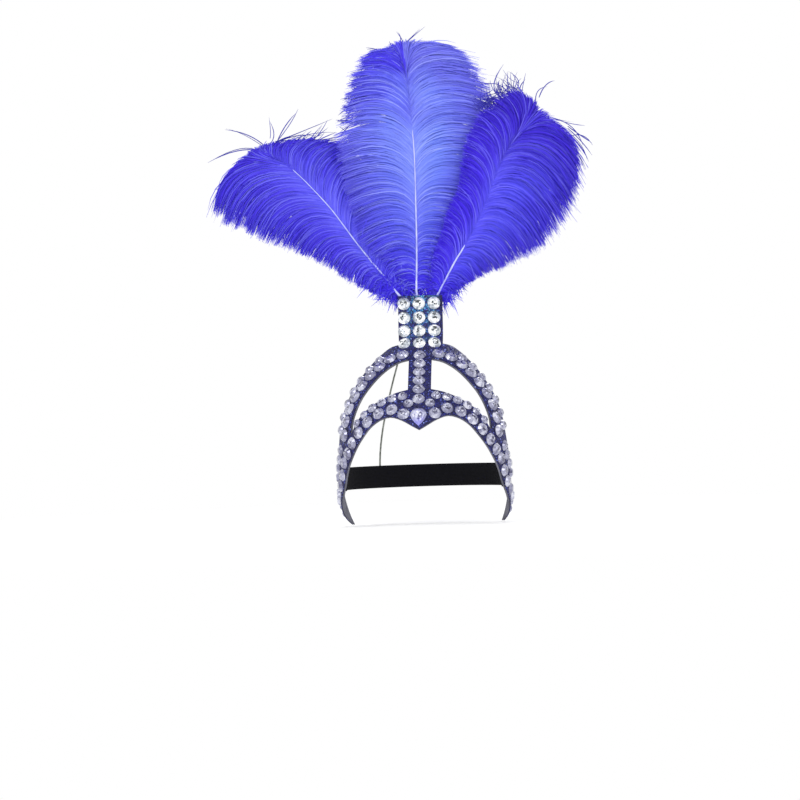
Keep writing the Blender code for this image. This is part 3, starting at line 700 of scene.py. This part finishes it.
# The quill's foot and the plume's tip are given as x, depth and z. A section holds the quill's x, z and
# depth, and the x and z at which its left and its right barbs end. A wisp, a long loose barb, holds
# the x and z of its start, its middle and its end.
Plume = namedtuple("Plume", "name seed dye foot tip habit sections tangles wisps")
PLUMES = [
    Plume(
        "plume_left",
        seed=11,
        dye=Dye(
            "royal blue", ("3c2cd0", "4c40de", "6462ee", "5048e2", "3a28ca"), ("3e2cd0", "3a28cc"),
            0.75, 0.22, "8c90f6",
        ),
        foot=(-11, 12.2, 134),
        tip=(-191, 72, 315),
        habit=Habit(0.48, 0.38, 0.8, 90, 0.06, 5),
        sections=[
            (-26, 152, 14.7, -33, 148, -21, 155), (-38, 168, 27, -54, 153, -17, 186),
            (-54, 188, 35, -80, 168, -23, 220), (-68, 206, 41, -111, 189, -37, 250),
            (-83, 227, 46, -141, 203, -50, 279), (-98, 248, 50, -169, 216, -63, 301),
            (-117, 270, 54, -195, 229, -79, 318), (-134, 288, 58, -215, 240, -109, 326),
            (-149, 301, 62, -227, 254, -140, 327), (-166, 309, 67, -220, 279, -172, 325),
        ],
        tangles=[
            Tangle(-172, 322, -112, 324, 22, 26, 0.2, 34),
            Tangle(-208, 294, -222, 258, 242, 13, 0.15, 30),
        ],
        wisps=[
            (-176, 326, -194, 337, -217, 343), (-183, 319, -204, 320, -234, 308),
            (-165, 327, -162, 337, -166, 350), (-158, 328, -149, 344, -137, 358),
            (-158, 327, -132, 337, -105, 347), (-151, 324, -122, 334, -91, 335),
            (-132, 326, -104, 327, -80, 327),
        ],
    ),
    Plume(
        "plume_centre",
        seed=12,
        dye=Dye(
            "periwinkle", ("625ee0", "7282ee", "8092f2", "7085ee", "5a4edc"), ("463adc", "6a6ce0"),
            0.68, 0.45, "acb6fc",
        ),
        foot=(0, 11.2, 122),
        tip=(-13, 72, 434),
        habit=Habit(0.42, 0.28, 0.6, 110, 0.1, 9),
        sections=[
            (-4, 153, 13.7, -12, 154, 6, 154), (-3, 186, 21.5, -40, 187, 22, 185),
            (-2.5, 216, 26, -63, 212, 40, 214), (-2.5, 249, 30, -75, 257, 62, 252),
            (-2.5, 277, 34, -81, 296, 74, 287), (-3, 310, 38, -82, 329, 80, 324),
            (-5, 343, 43, -74, 362, 81, 353), (-7, 371, 49, -68, 390, 71, 382),
            (-10, 396, 56, -58, 414, 59, 407), (-11.5, 415, 64, -37, 425, 39, 426),
        ],
        tangles=[
            Tangle(-38, 420, -4, 430, 95, 8, 0.3, 24),
            Tangle(0, 428, 78, 360, -12, 15, 0.12, 100),
            Tangle(-60, 404, -80, 330, 186, 11, 0.1, 60),
        ],
        wisps=[
            (-17, 432, -16, 439, -19, 445), (-11, 431, -1, 440, 12, 450),
            (-35, 424, -45, 427, -55, 429), (61, 389, 74, 384, 90, 382), (64, 377, 77, 369, 90, 364),
        ],
    ),
    Plume(
        "plume_right",
        seed=13,
        dye=Dye(
            "violet blue", ("3a1ed8", "4630e0", "5a54ea", "524ee6", "3e2ece"), ("3822c4", "3c28ca"),
            0.7, 0.22, "8482f4",
        ),
        foot=(9, 12.6, 130),
        tip=(137, 47, 353),
        habit=Habit(0.45, 0.32, 0.3, 260, 0.05, 5),
        sections=[
            (20.5, 150, 14, 13, 155, 30, 150), (27.5, 162.5, 14.3, 14, 185, 45, 155),
            (39, 183, 15.3, 24, 212, 67, 167), (50, 200, 16.5, 33, 240, 91, 177),
            (64, 224, 18.5, 45, 264, 116, 189), (76, 250, 21, 50, 291, 138, 204),
            (86, 275, 24, 56, 318, 156, 226), (97, 299, 28, 70, 343, 170, 252),
            (109, 318, 33, 89, 360, 178, 279), (121, 334, 39, 110, 372, 175, 308),
        ],
        tangles=[
            Tangle(76, 352, 114, 373, 128, 17, 0.55, 78),
            Tangle(46, 162, 144, 222, -75, 9, 0.3, 14),
        ],
        wisps=[
            (105, 375, 98, 386, 82, 391), (115, 374, 112, 385, 107, 394), (95, 372, 93, 379, 94, 385),
            (139, 368, 146, 378, 155, 382), (164, 336, 175, 333, 187, 331),
            (172, 328, 184, 319, 194, 312), (172, 325, 184, 312, 194, 298),
            (171, 321, 183, 306, 190, 291), (172, 311, 181, 296, 187, 282),
            (172, 294, 176, 282, 178, 272), (84, 188, 87, 179, 89, 171), (40, 163, 46, 157, 52, 151),
            (41, 158, 43, 152, 43, 147),
        ],
    ),
]


def lay_barbs(habit, start, end, depth, ahead, at, reach):
    """Barbs from start towards end, arched ahead along the quill and drooping back as they go."""
    closed = np.clip((at - habit.quill_shown) / 0.06, 0, 1)
    depth = depth + BARB_BEHIND_QUILL - closed * BARB_OVER_QUILL
    span = BARB_REACH * reach[:, None] * (end - start)
    length = np.linalg.norm(span, axis=1, keepdims=True)
    elbow = start + habit.ahead * length * ahead + habit.out * span
    t = ALONG_BARB[:, None]
    flat = (1 - t) ** 2 * start[:, None] + 2 * t * (1 - t) * elbow[:, None]
    flat += t**2 * (start + span)[:, None]
    droop = BARB_DROOP * np.minimum(1, 0.3 + 2 * at)[:, None] * ALONG_BARB**2
    return np.stack([flat[..., 0], depth[:, None] + droop, flat[..., 1]], axis=2)


def barb_lines(habit, sections, at, side, reach):
    """The lines of barbs that leave the quill at the given places: one row of points for each barb."""
    held = smooth_value(sections, at)
    ahead = unit(smooth_value(sections, at + 0.01)[:, :2] - smooth_value(sections, at - 0.01)[:, :2])
    end = np.where(side[:, None] < 0, held[:, 3:5], held[:, 5:7])
    return lay_barbs(habit, held[:, :2], end, held[:, 2], ahead, at, reach)


def gathered(lines, locks, luck):
    """Barbs drawn towards the line of their lock more and more to the end, each a little off it."""
    strength = LOCK_PULL * luck.uniform(0.0, 1.0, (len(lines), 1, 1)) * ALONG_BARB[:, None] ** 2.2
    return lines + (locks - lines) * strength


def swayed(lines, lock, luck, spread=1.0):
    """Barbs with the small sways and curls of soft ones, those of a lock together."""
    share, each = ALONG_BARB, (len(lines), 1)
    across = np.cross(unit(np.gradient(lines, axis=1)), BACKWARDS)
    lock_sway, lock_depth = luck.normal(0, 1, (2, lock.max() + 1))
    sway = 0.7 * luck.uniform(0, 1.1, each) * lock_sway[lock][:, None] * share**2.5
    sway += luck.normal(0, 1.2, each) * share**1.5
    wave = luck.uniform(0.6, 1.6, each) * 2 * pi * share + luck.uniform(0, 2 * pi, each)
    sway += 0.55 * np.sin(wave) * share
    depth = lock_depth[lock][:, None] * share + luck.normal(0, 0.8, each) * np.minimum(1, 4 * share)
    lines = lines + spread * sway[..., None] * across
    lines[..., 1] += spread * depth
    return lines


def ribbon_mesh(lines, width, luck):
    """Flat tapering ribbons along the lines: points, faces, and each point's place along its barb and
    its barb's number.
    """
    count, steps = lines.shape[:2]
    along = unit(np.gradient(lines, axis=1))
    across = unit(np.cross(along, BACKWARDS))
    roll, twist = luck.normal(0, 0.4, (count, 1, 1)), luck.normal(0, 0.45, (count, 1, 1))
    roll = roll + twist * ALONG_BARB[:, None]
    edge = np.cos(roll) * across + np.sin(roll) * np.cross(along, across)
    taper = np.interp(ALONG_BARB, [0, 0.12, 0.75, 1], [0.7, 1, 0.9, 0.2])[:, None]
    half = width[:, None, None] / 2 * taper
    points = np.stack([lines - half * edge, lines + half * edge], axis=2).reshape(-1, 3)
    first = (np.arange(count)[:, None] * steps + np.arange(steps - 1)[None]).ravel() * 2
    faces = np.column_stack([first, first + 1, first + 3, first + 2])
    share = np.tile(np.repeat(ALONG_BARB, 2), count)
    return points, faces, share, np.repeat(np.arange(count), 2 * steps)


def barbule_mesh(lines, luck):
    """The barbules: a thin triangle for each, leaning ahead off either side of its barb."""
    count, steps = lines.shape[:2]
    barb = np.repeat(np.arange(count), BARBULES_PER_BARB)
    share = luck.uniform(0.06, 0.97, len(barb))
    low = np.minimum((share * (steps - 1)).astype(int), steps - 2)
    part = (share * (steps - 1) - low)[:, None]
    root = lines[barb, low] * (1 - part) + lines[barb, low + 1] * part
    along = unit(lines[barb, low + 1] - lines[barb, low])
    across = np.cross(along, BACKWARDS) * luck.choice([-1, 1], len(barb))[:, None]
    lean = unit(across + 0.9 * along + luck.normal(0, 0.45, (len(barb), 3)))
    length = BARBULE_LENGTH * luck.uniform(0.5, 1.1, (len(barb), 1)) * (1.15 - 0.7 * share[:, None])
    foot = 0.17 * along
    points = np.stack([root - foot, root + foot, root + lean * length], axis=1).reshape(-1, 3)
    return points, np.arange(len(points)).reshape(-1, 3), np.repeat(share, 3), np.repeat(barb, 3)


def quill_mesh(route):
    """The quill: a round horn shaft that tapers to a point, along its route."""
    along = unit(np.gradient(route, axis=0))
    across = unit(np.cross(along, BACKWARDS))
    ring = np.arange(QUILL_SIDES)
    turn = (ring * 2 * pi / QUILL_SIDES)[:, None]
    radii = np.linspace(QUILL_RADIUS, QUILL_TIP_RADIUS, len(route))[:, None, None]
    spokes = np.cos(turn) * across[:, None] + np.sin(turn) * np.cross(along, across)[:, None]
    points = (route[:, None] + radii * spokes).reshape(-1, 3)
    after = (ring + 1) % QUILL_SIDES
    faces = []
    for low in range(0, len(points) - QUILL_SIDES, QUILL_SIDES):
        high = low + QUILL_SIDES
        faces += list(np.column_stack([low + ring, low + after, high + after, high + ring]))
    return points, faces + [ring[::-1], len(points) - QUILL_SIDES + ring]


def plume_barbs(plume, sections, luck):
    """All the barbs on a plume's quill as lines, with each one's place on it, side and width."""
    habit = plume.habit
    groups = []
    for side in (-1, 1):
        at = luck.uniform(0.05, 1, habit.strays)
        sides = np.full(len(at), side)
        lines = barb_lines(habit, sections, at, sides, luck.uniform(0.95, 1.08, len(at)))
        groups.append((swayed(lines, np.arange(len(at)), luck, STRAY_SWAY), at, sides))
        at = np.sort(luck.uniform(0, 1, BARBS_PER_SIDE))
        sides = np.full(len(at), side)
        lock = (at * LOCKS + luck.uniform(-0.9, 0.9, len(at))).clip(0, LOCKS - 1).astype(int)
        lock_reach = luck.uniform(0.99 - habit.ragged, 0.99 + habit.ragged, LOCKS)
        reach = lock_reach[lock] * (1 - np.abs(luck.normal(0, 0.06, len(at))))
        short = luck.uniform(0, 1, len(at)) < SHORT_BARBS
        reach *= np.where(short, luck.uniform(0.45, 1.0, len(at)), 1.0)
        lines = barb_lines(habit, sections, at, sides, reach)
        locks = barb_lines(habit, sections, (lock + 0.5) / LOCKS, sides, reach)
        groups.append((swayed(gathered(lines, locks, luck), lock, luck), at, sides))
    fan = luck.uniform(-1, 1, BARBS_AT_TIP)
    at = 1 - 0.16 * luck.uniform(0, 1, BARBS_AT_TIP) * (1 - 0.6 * np.abs(fan))
    held = smooth_value(sections, at)
    last = np.array(plume.sections[-1], float)
    to_tip = np.array([plume.tip[0], plume.tip[2]], float) - last[:2]
    weight = np.abs(fan)[:, None]
    side_end = np.where(fan[:, None] < 0, last[3:5], last[5:7])
    bulge = to_tip * 0.35 * weight * (1 - weight) * 2
    end = (1 - weight**1.2) * (last[:2] + to_tip) + weight**1.2 * side_end + bulge
    reach = luck.uniform(0.72, 0.99, BARBS_AT_TIP)
    lines = lay_barbs(habit, held[:, :2], end, held[:, 2], unit(to_tip), at, reach)
    groups.append((swayed(lines, ((fan + 1) * 9).astype(int), luck), at, fan))
    lines, at, side = [np.concatenate(column) for column in zip(*groups)]
    return lines, at, side, BARB_WIDTH * luck.uniform(0.7, 1.25, len(at))


def down_lines(sections, foot_spread, luck):
    """The short curling down at the foot of the plume, behind the quill and behind the plate."""
    at = luck.uniform(0, 0.18, DOWN_BARBS)
    root = smooth_value(sections, at)[:, :3][:, [0, 2, 1]]
    root[:, 0] += luck.normal(0, foot_spread, DOWN_BARBS)
    root[:, 1] += luck.uniform(1.2, 4.5, DOWN_BARBS)
    root[:, 2] += luck.uniform(-9, 4, DOWN_BARBS)
    way = luck.choice([0.0, pi, -pi / 2, pi / 2], DOWN_BARBS) + luck.normal(0, 0.7, DOWN_BARBS)
    length = luck.uniform(8, 19, (DOWN_BARBS, 1)) * (0.75 + 2 * at[:, None])
    lean = np.column_stack([np.cos(way), luck.uniform(-0.04, 0.35, DOWN_BARBS), np.sin(way) + 0.2])
    fall = luck.normal(0, 0.25, (DOWN_BARBS, 3)) * (1, 0.2, 1) + (0, 0, -0.35)
    t = ALONG_BARB[:, None]
    lines = root[:, None] + length[:, None] * (lean[:, None] * t + fall[:, None] * t**2)
    behind = (np.abs(lines[..., 0]) < PLATE_HALF_WIDTH + 1) & (lines[..., 2] < PLATE_TOP + 1)
    lines[..., 1] = np.where(behind, np.maximum(lines[..., 1], BEHIND_PLATE), lines[..., 1])
    return lines, at, np.sign(lean[:, 0])


def edge_depth(plume, places):
    """How far back the plume's edge lies nearest each place, seen from the front."""
    rows = np.array(plume.sections, float)
    tip_x, tip_depth, tip_z = plume.tip
    ends = np.concatenate([rows[:, 3:5], rows[:, 5:7], [(tip_x, tip_z)]])
    edge = rows[:, 2] + BARB_DROOP * np.minimum(1, 0.3 + 2 * np.linspace(0, 1, len(rows)))
    nearness = 1 / (np.linalg.norm(places[:, None] - ends[None], axis=2) + 1) ** 3
    return (nearness * [*edge, *edge, tip_depth]).sum(axis=1) / nearness.sum(axis=1)


def tangle_lines(plume, luck):
    """The tangles of short loose barbs: each leans off the outline and curls to one side."""
    t = np.linspace(-0.3, 1, BARB_STEPS)[:, None]
    groups = []
    for row in plume.tangles:
        share = luck.uniform(0, 1, (row.count, 1))
        start = np.array([row.start_x, 0, row.start_z]) * (1 - share)
        start += np.array([row.end_x, 0, row.end_z]) * share
        start += luck.normal(0, 5 * row.curl + 1.5, (row.count, 3)) * (1, 0, 1)
        way = radians(row.lean_degrees) + luck.normal(0, 0.45, row.count)
        lean = np.column_stack([np.cos(way), np.zeros(row.count), np.sin(way)])
        curl = np.cross(lean, BACKWARDS) * luck.normal(0, row.curl, (row.count, 1))
        length = row.length * luck.uniform(0.5, 1.3, (row.count, 1))
        lines = start[:, None] + length[:, None] * (lean[:, None] * t + curl[:, None] * t**2)
        depth = edge_depth(plume, start[:, [0, 2]])[:, None]
        lines[..., 1] = depth + luck.normal(0, 1.5, (row.count, 1))
        groups.append(lines)
    return np.concatenate(groups)


def wisp_lines(plume, luck):
    """The long loose barbs, in pairs: an arc through three places, as far back as the edge beside it."""
    t = np.linspace(-0.15, 1, BARB_STEPS)[:, None]
    rows = np.array(plume.wisps, float).reshape(-1, 3, 2)
    twins = rows + luck.normal(0, 1.6, rows.shape)
    twins += luck.uniform(-0.5, 0.2, (len(rows), 1, 1)) * (rows[:, 2:] - rows[:, :1])
    rows = np.concatenate([rows, twins])
    start, by, end = rows[:, 0, None], rows[:, 1, None], rows[:, 2, None]
    knee = 2 * by - (start + end) / 2
    flat = (1 - t) ** 2 * start + 2 * t * (1 - t) * knee + t**2 * end
    depth = np.repeat(edge_depth(plume, rows[:, 0])[:, None], BARB_STEPS, axis=1)
    return np.stack([flat[..., 0], depth, flat[..., 1]], axis=2)


def add_plume(plume, barb_dye, quill_dye):
    """Makes a plume as one piece: its barbs, its down, its loose barbs, their barbules and its quill."""
    luck = np.random.default_rng(plume.seed)
    last = len(plume.sections) - 1
    sections = [(i / last, *row) for i, row in enumerate(plume.sections)]
    lines, at, side, width = plume_barbs(plume, sections, luck)
    down, down_at, down_side = down_lines(sections, plume.habit.foot_spread, luck)
    loose = np.concatenate([wisp_lines(plume, luck), tangle_lines(plume, luck)])
    lines = np.concatenate([lines, down, loose])
    at = np.concatenate([at, down_at, np.full(len(loose), LOOSE_BARB_PLACE)])
    side = np.concatenate([side, down_side, np.ones(len(loose))])
    width = np.concatenate([width, np.full(len(down), DOWN_WIDTH), luck.uniform(0.7, 1.2, len(loose))])
    strand = luck.uniform(0, 1, len(lines))
    ribbons = ribbon_mesh(lines, width, luck)
    barbules = barbule_mesh(lines[:-len(loose)], luck)
    spots = smooth_value(sections, np.linspace(0, 0.97, 24))[:, [0, 2, 1]]
    foot = np.array(plume.foot, float)
    quill_points, quill_faces = quill_mesh(np.concatenate([[foot, (foot + spots[0]) / 2], spots]))
    barb_points = len(ribbons[0]) + len(barbules[0])
    points = np.concatenate([ribbons[0], barbules[0], quill_points]) * METRES_PER_MM
    faces = [*ribbons[1], *(barbules[1] + len(ribbons[0]))]
    faces += [face + barb_points for face in quill_faces]
    piece = start_piece("ostrich_" + plume.name, points, faces)
    mesh = piece.data
    owner = np.concatenate([ribbons[3], barbules[3]])
    share = np.concatenate([ribbons[2], barbules[2]]) * np.sign(side[owner])
    share = np.concatenate([0.5 + 0.5 * share, np.full(len(quill_points), 0.5)])
    place = np.concatenate([at[owner], np.linspace(0, 1, len(quill_points))])
    tone = np.concatenate([strand[owner], np.full(len(quill_points), 0.5)]).astype(np.float32)
    corners = np.zeros(len(mesh.loops), np.int32)
    mesh.loops.foreach_get("vertex_index", corners)
    uv = mesh.uv_layers.new(name="barb")
    uv.data.foreach_set("uv", np.column_stack([share, place])[corners].astype(np.float32).ravel())
    mesh.attributes.new("strand", "FLOAT", "POINT").data.foreach_set("value", tone)
    mesh.materials.append(barb_dye)
    mesh.materials.append(quill_dye)
    slots = np.zeros(len(mesh.polygons), np.int32)
    slots[-len(quill_faces):] = 1
    mesh.polygons.foreach_set("material_index", slots)
    mesh.shade_smooth()
    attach(piece, "root")
    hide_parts(plume.name)


def dyed_barbs(dye):
    """Ostrich barbs in a bath dye, soft and matt: deepest at their tips and the plume's crown, partly
    the dye and partly painted shade, paler over the quill with a painted highlight, no two strands
    alike and some painted with a highlight of their own. The barb map runs from the left tips to the
    right ones, and up the quill, with the loose barbs beyond its end.
    """
    made, tree, shader = new_material(
        "dyed ostrich barbs, " + dye.name, dye.across[1], 0.75,
        Sheen_Weight=0.12, Sheen_Roughness=0.5, Specular_IOR_Level=0.12,
    )
    laid = add_node(tree, "UVMap", {}, uv_map="barb")
    way = add_node(tree, "SeparateXYZ", {"Vector": laid}).outputs
    strand = add_node(tree, "Attribute", {}, attribute_name="strand", attribute_type="GEOMETRY")
    # The dye across the plume, with painted shade at the tips and a painted highlight over the quill.
    bands = list(zip((0.02, 0.28, 0.5, 0.72, 0.98), dye.across))
    dye_and_painted_light = add_node(tree, "ValToRGB", {"Fac": way["X"]}, stops=bands)
    place = add_node(tree, "TexCoord", {}).outputs["Object"]
    cloud = add_node(tree, "TexNoise", {"Vector": place, "Scale": 1000 / DYE_CLOUD_MM, "Detail": 1.0})
    wander = add_node(tree, "Math", {0: cloud, 1: 0.5, 2: way["Y"]}, operation="MULTIPLY_ADD")
    # The crown's darker colours: the dye, partly deepened by painted shade.
    crown_at, crown_full = dye.crown_from + 0.1, dye.crown_from + 0.45
    top = add_node(tree, "MapRange", {"Value": wander, "From Min": crown_at, "From Max": crown_full})
    halves = list(zip((0.42, 0.62), dye.crown))
    crown = add_node(tree, "ValToRGB", {"Fac": way["X"]}, stops=halves)
    foot = add_node(tree, "MapRange", {"Value": way["Y"], "From Min": dye.foot_to, "From Max": 0.02})
    # Painted highlights: some strands, picked at random, are lightened.
    highlit_strand = add_node(
        tree, "MapRange",
        {"Value": strand.outputs["Fac"], "From Min": 0.6, "From Max": 1.0, "To Max": 0.42},
    )
    loose = add_node(tree, "MapRange", {"Value": way["Y"], "From Min": 1.1, "From Max": 1.3})
    foot_blue, dried_blue = hex_colour("3a28dc"), hex_colour("34329c")
    colour = dye_and_painted_light
    for share, other in (
        (top, crown), (foot, foot_blue), (highlit_strand, hex_colour(dye.light)), (loose, dried_blue)
    ):
        colour = add_node(tree, "Mix", {0: share, 6: colour, 7: other}, data_type="RGBA")
    feed(shader, "Base Color", colour)
    return made


quill_horn, tree, shader = new_material("dyed quill, polished horn", "a9aef0", 0.35, Coat_Weight=0.3)
place = add_node(tree, "TexCoord", {}).outputs["Object"]
streaks = add_node(tree, "TexNoise", {"Vector": place, "Scale": 1000 / QUILL_STREAK_MM, "Detail": 3.0})
tone = add_node(tree, "ValToRGB", {"Fac": streaks}, stops=[(0.3, "8f94e6"), (0.7, "c6caf8")])
feed(shader, "Base Color", tone)
for plume in PLUMES:
    add_plume(plume, dyed_barbs(plume.dye), quill_horn)

# The elastic: a black woven ribbon, sewn inside each arm, that closes the crown at the back. It is
# held stretched, so it runs plain and close to the curve.
STRAP_WIDTH = 25.0
STRAP_THICKNESS = 1.5
STRAP_HEIGHT = -52.5
STRAP_LIFT = -3.4
STRAP_SEWN_FROM = radians(72)
STRAP_STEPS = 160
STRAP_ROWS = 8
STRAP_ROUNDING = 0.5
RIB_MM = 1.6
WEFT_MM = 1.2
angles = np.linspace(STRAP_SEWN_FROM, 2 * pi - STRAP_SEWN_FROM, STRAP_STEPS + 1)
level_half_width = smooth_value(SECTIONS, STRAP_HEIGHT)[0, 0]
strap_line = bend(angles * level_half_width, np.full(len(angles), STRAP_HEIGHT), STRAP_LIFT)
strap_length = float(np.linalg.norm(np.diff(strap_line, axis=0), axis=1).sum())

# The warp's rubber cores stand as ribs 1.6 mm apart, crossed by weft threads drawn 1.2 mm apart.
elastic, tree, shader = new_material("black woven elastic", "06060b", 0.85, Specular_IOR_Level=0.15)
laid = add_node(tree, "UVMap", {}, uv_map="UVMap")
way = add_node(tree, "SeparateXYZ", {"Vector": laid}).outputs
ribs = add_node(tree, "Math", {0: way["Y"], 1: 2 * pi * STRAP_WIDTH / RIB_MM}, operation="MULTIPLY")
ribs = add_node(tree, "Math", {0: ribs}, operation="SINE")
weft = add_node(tree, "Math", {0: way["X"], 1: 2 * pi * strap_length / WEFT_MM}, operation="MULTIPLY")
weft = add_node(tree, "Math", {0: weft}, operation="SINE")
weave = add_node(tree, "Math", {0: ribs, 1: weft}, operation="ADD")
level = add_node(tree, "MapRange", {"Value": weave, "From Min": -2.0, "From Max": 2.0})
tone = add_node(tree, "ValToRGB", {"Fac": level}, stops=[(0.1, "020205"), (0.9, "101016")])
feed(shader, "Base Color", tone)
feed(shader, "Normal", add_node(tree, "Bump", {"Strength": 0.6, "Distance": 0.0003, "Height": level}))


def on_strap(along, over, _):
    """Points of the strap, given where each lies along it and over its width, from -0.5 to 0.5."""
    angle = STRAP_SEWN_FROM + (along + 0.5) * (2 * pi - 2 * STRAP_SEWN_FROM)
    height = STRAP_HEIGHT + over * STRAP_WIDTH
    return bend(angle * smooth_value(SECTIONS, height)[:, 0], height, STRAP_LIFT)


bpy.ops.object.select_all(action="DESELECT")
bpy.ops.mesh.primitive_grid_add(
    x_subdivisions=STRAP_STEPS, y_subdivisions=STRAP_ROWS, size=1.0, calc_uvs=True
)
strap = bpy.context.object
strap.name = "woven_elastic_strap"
bend_points(strap, on_strap)
add_modifier(strap, "SOLIDIFY", thickness=STRAP_THICKNESS * METRES_PER_MM, offset=0)
soften_edges(strap, STRAP_ROUNDING * METRES_PER_MM)
bpy.ops.object.shade_smooth_by_angle(angle=SMOOTH_ANGLE)
strap.data.materials.append(elastic)
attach(strap, "root")
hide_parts("elastic_strap")

# The stay: soft galvanised wire, bent by hand, that arches from behind the plate back to the elastic.
# Its drawn zinc coat is a dull grey with small crystals, lighter and darker.
SPANGLE_MM = 3
wire, tree, shader = new_material("galvanised steel wire, drawn", "7c8079", 0.36, 0.9)
place = add_node(tree, "TexCoord", {}).outputs["Object"]
spangle = add_node(tree, "TexNoise", {"Vector": place, "Scale": 1000 / SPANGLE_MM, "Detail": 3.0})
tone = add_node(tree, "ValToRGB", {"Fac": spangle}, stops=[(0.35, "5e625c"), (0.65, "8e928a")])
feed(shader, "Base Color", tone)
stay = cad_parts["wire_stay"]
stay.data.materials.clear()
stay.data.materials.append(wire)

# The studio: a pale floor that fades into the white surround, soft light from above and both sides,
# and the camera level with the brow, a little to the right and tilted as the photograph is. The
# Standard view transform keeps the surround white.
SURROUND = "ffffff"
FLOOR_FADES_FROM = 0.35
FLOOR_GONE_BY = 0.9
FLOOR_CLEARANCE = 0.001
LAMPS_AIM_AT = (0, 0, 0.15)
world = bpy.data.worlds.new("white surround")
world.use_nodes = True
background = world.node_tree.nodes["Background"]
background.inputs["Color"].default_value = hex_colour(SURROUND)
background.inputs["Strength"].default_value = 1.0
bpy.context.scene.world = world
bpy.context.scene.view_settings.view_transform = "Standard"

paint, tree, shader = new_material("pale studio floor, matt paint", "f4f4f4", 0.9)
place = add_node(tree, "TexCoord", {}).outputs["Object"]
far = add_node(tree, "VectorMath", {0: place}, operation="LENGTH")
fade = add_node(
    tree, "MapRange", {"Value": far, "From Min": FLOOR_FADES_FROM, "From Max": FLOOR_GONE_BY}
)
clear = add_node(tree, "BsdfTransparent", {})
shown = add_node(tree, "MixShader", {0: fade, 1: shader, 2: clear})
feed(tree.nodes["Material Output"], "Surface", shown)
floor_level = cad_box[0][2] - FLOOR_CLEARANCE
bpy.ops.mesh.primitive_circle_add(
    vertices=96, radius=1.0, fill_type="NGON", location=(0, 0, floor_level)
)
floor = bpy.context.object
floor.name = "studio_floor"
bpy.ops.object.transform_apply(location=True)
floor.data.materials.append(paint)

Lamp = namedtuple("Lamp", "name place watts width")
LAMPS = [
    Lamp("key_softbox", (-1.3, -2.2, 1.7), 26, 1.2),
    Lamp("fill_softbox", (1.6, -2.0, 0.9), 14, 1.4),
    Lamp("back_softbox", (0.4, 2.2, 1.9), 18, 1.2),
]
for lamp in LAMPS:
    light = bpy.data.lights.new(lamp.name, "AREA")
    light.energy = lamp.watts
    light.size = lamp.width
    held = bpy.data.objects.new(lamp.name, light)
    held.location = lamp.place
    aim = Vector(LAMPS_AIM_AT) - Vector(lamp.place)
    held.rotation_euler = aim.to_track_quat("-Z", "Y").to_euler()
    bpy.context.scene.collection.objects.link(held)

VIEW_TURN = radians(3.3)
VIEW_ROLL = radians(1.8)
VIEW_DISTANCE = 4.0
VIEW_SHIFT = 0.02508
VIEW_HEIGHT = 0.033
METRES_PER_PIXEL = 0.0011
IMAGE_PIXELS = 800
SENSOR_MM = 36.0
right = Vector((cos(VIEW_TURN), sin(VIEW_TURN), 0))
back = Vector((sin(VIEW_TURN), -cos(VIEW_TURN), 0))
camera = bpy.data.objects.new("photo_camera", bpy.data.cameras.new("photo_camera"))
upright = Matrix((right, Vector((0, 0, 1)), back)).transposed()
stand = Vector((0, 0, VIEW_HEIGHT)) + VIEW_DISTANCE * back - VIEW_SHIFT * right
tilted_view = (upright @ Matrix.Rotation(-VIEW_ROLL, 3, "Z")).to_4x4()
camera.matrix_world = Matrix.Translation(stand) @ tilted_view
camera.data.sensor_width = SENSOR_MM
camera.data.lens = SENSOR_MM * VIEW_DISTANCE / (METRES_PER_PIXEL * IMAGE_PIXELS)
camera.data.clip_end = 100
bpy.context.scene.collection.objects.link(camera)
bpy.context.scene.camera = camera

bpy.context.view_layer.update()
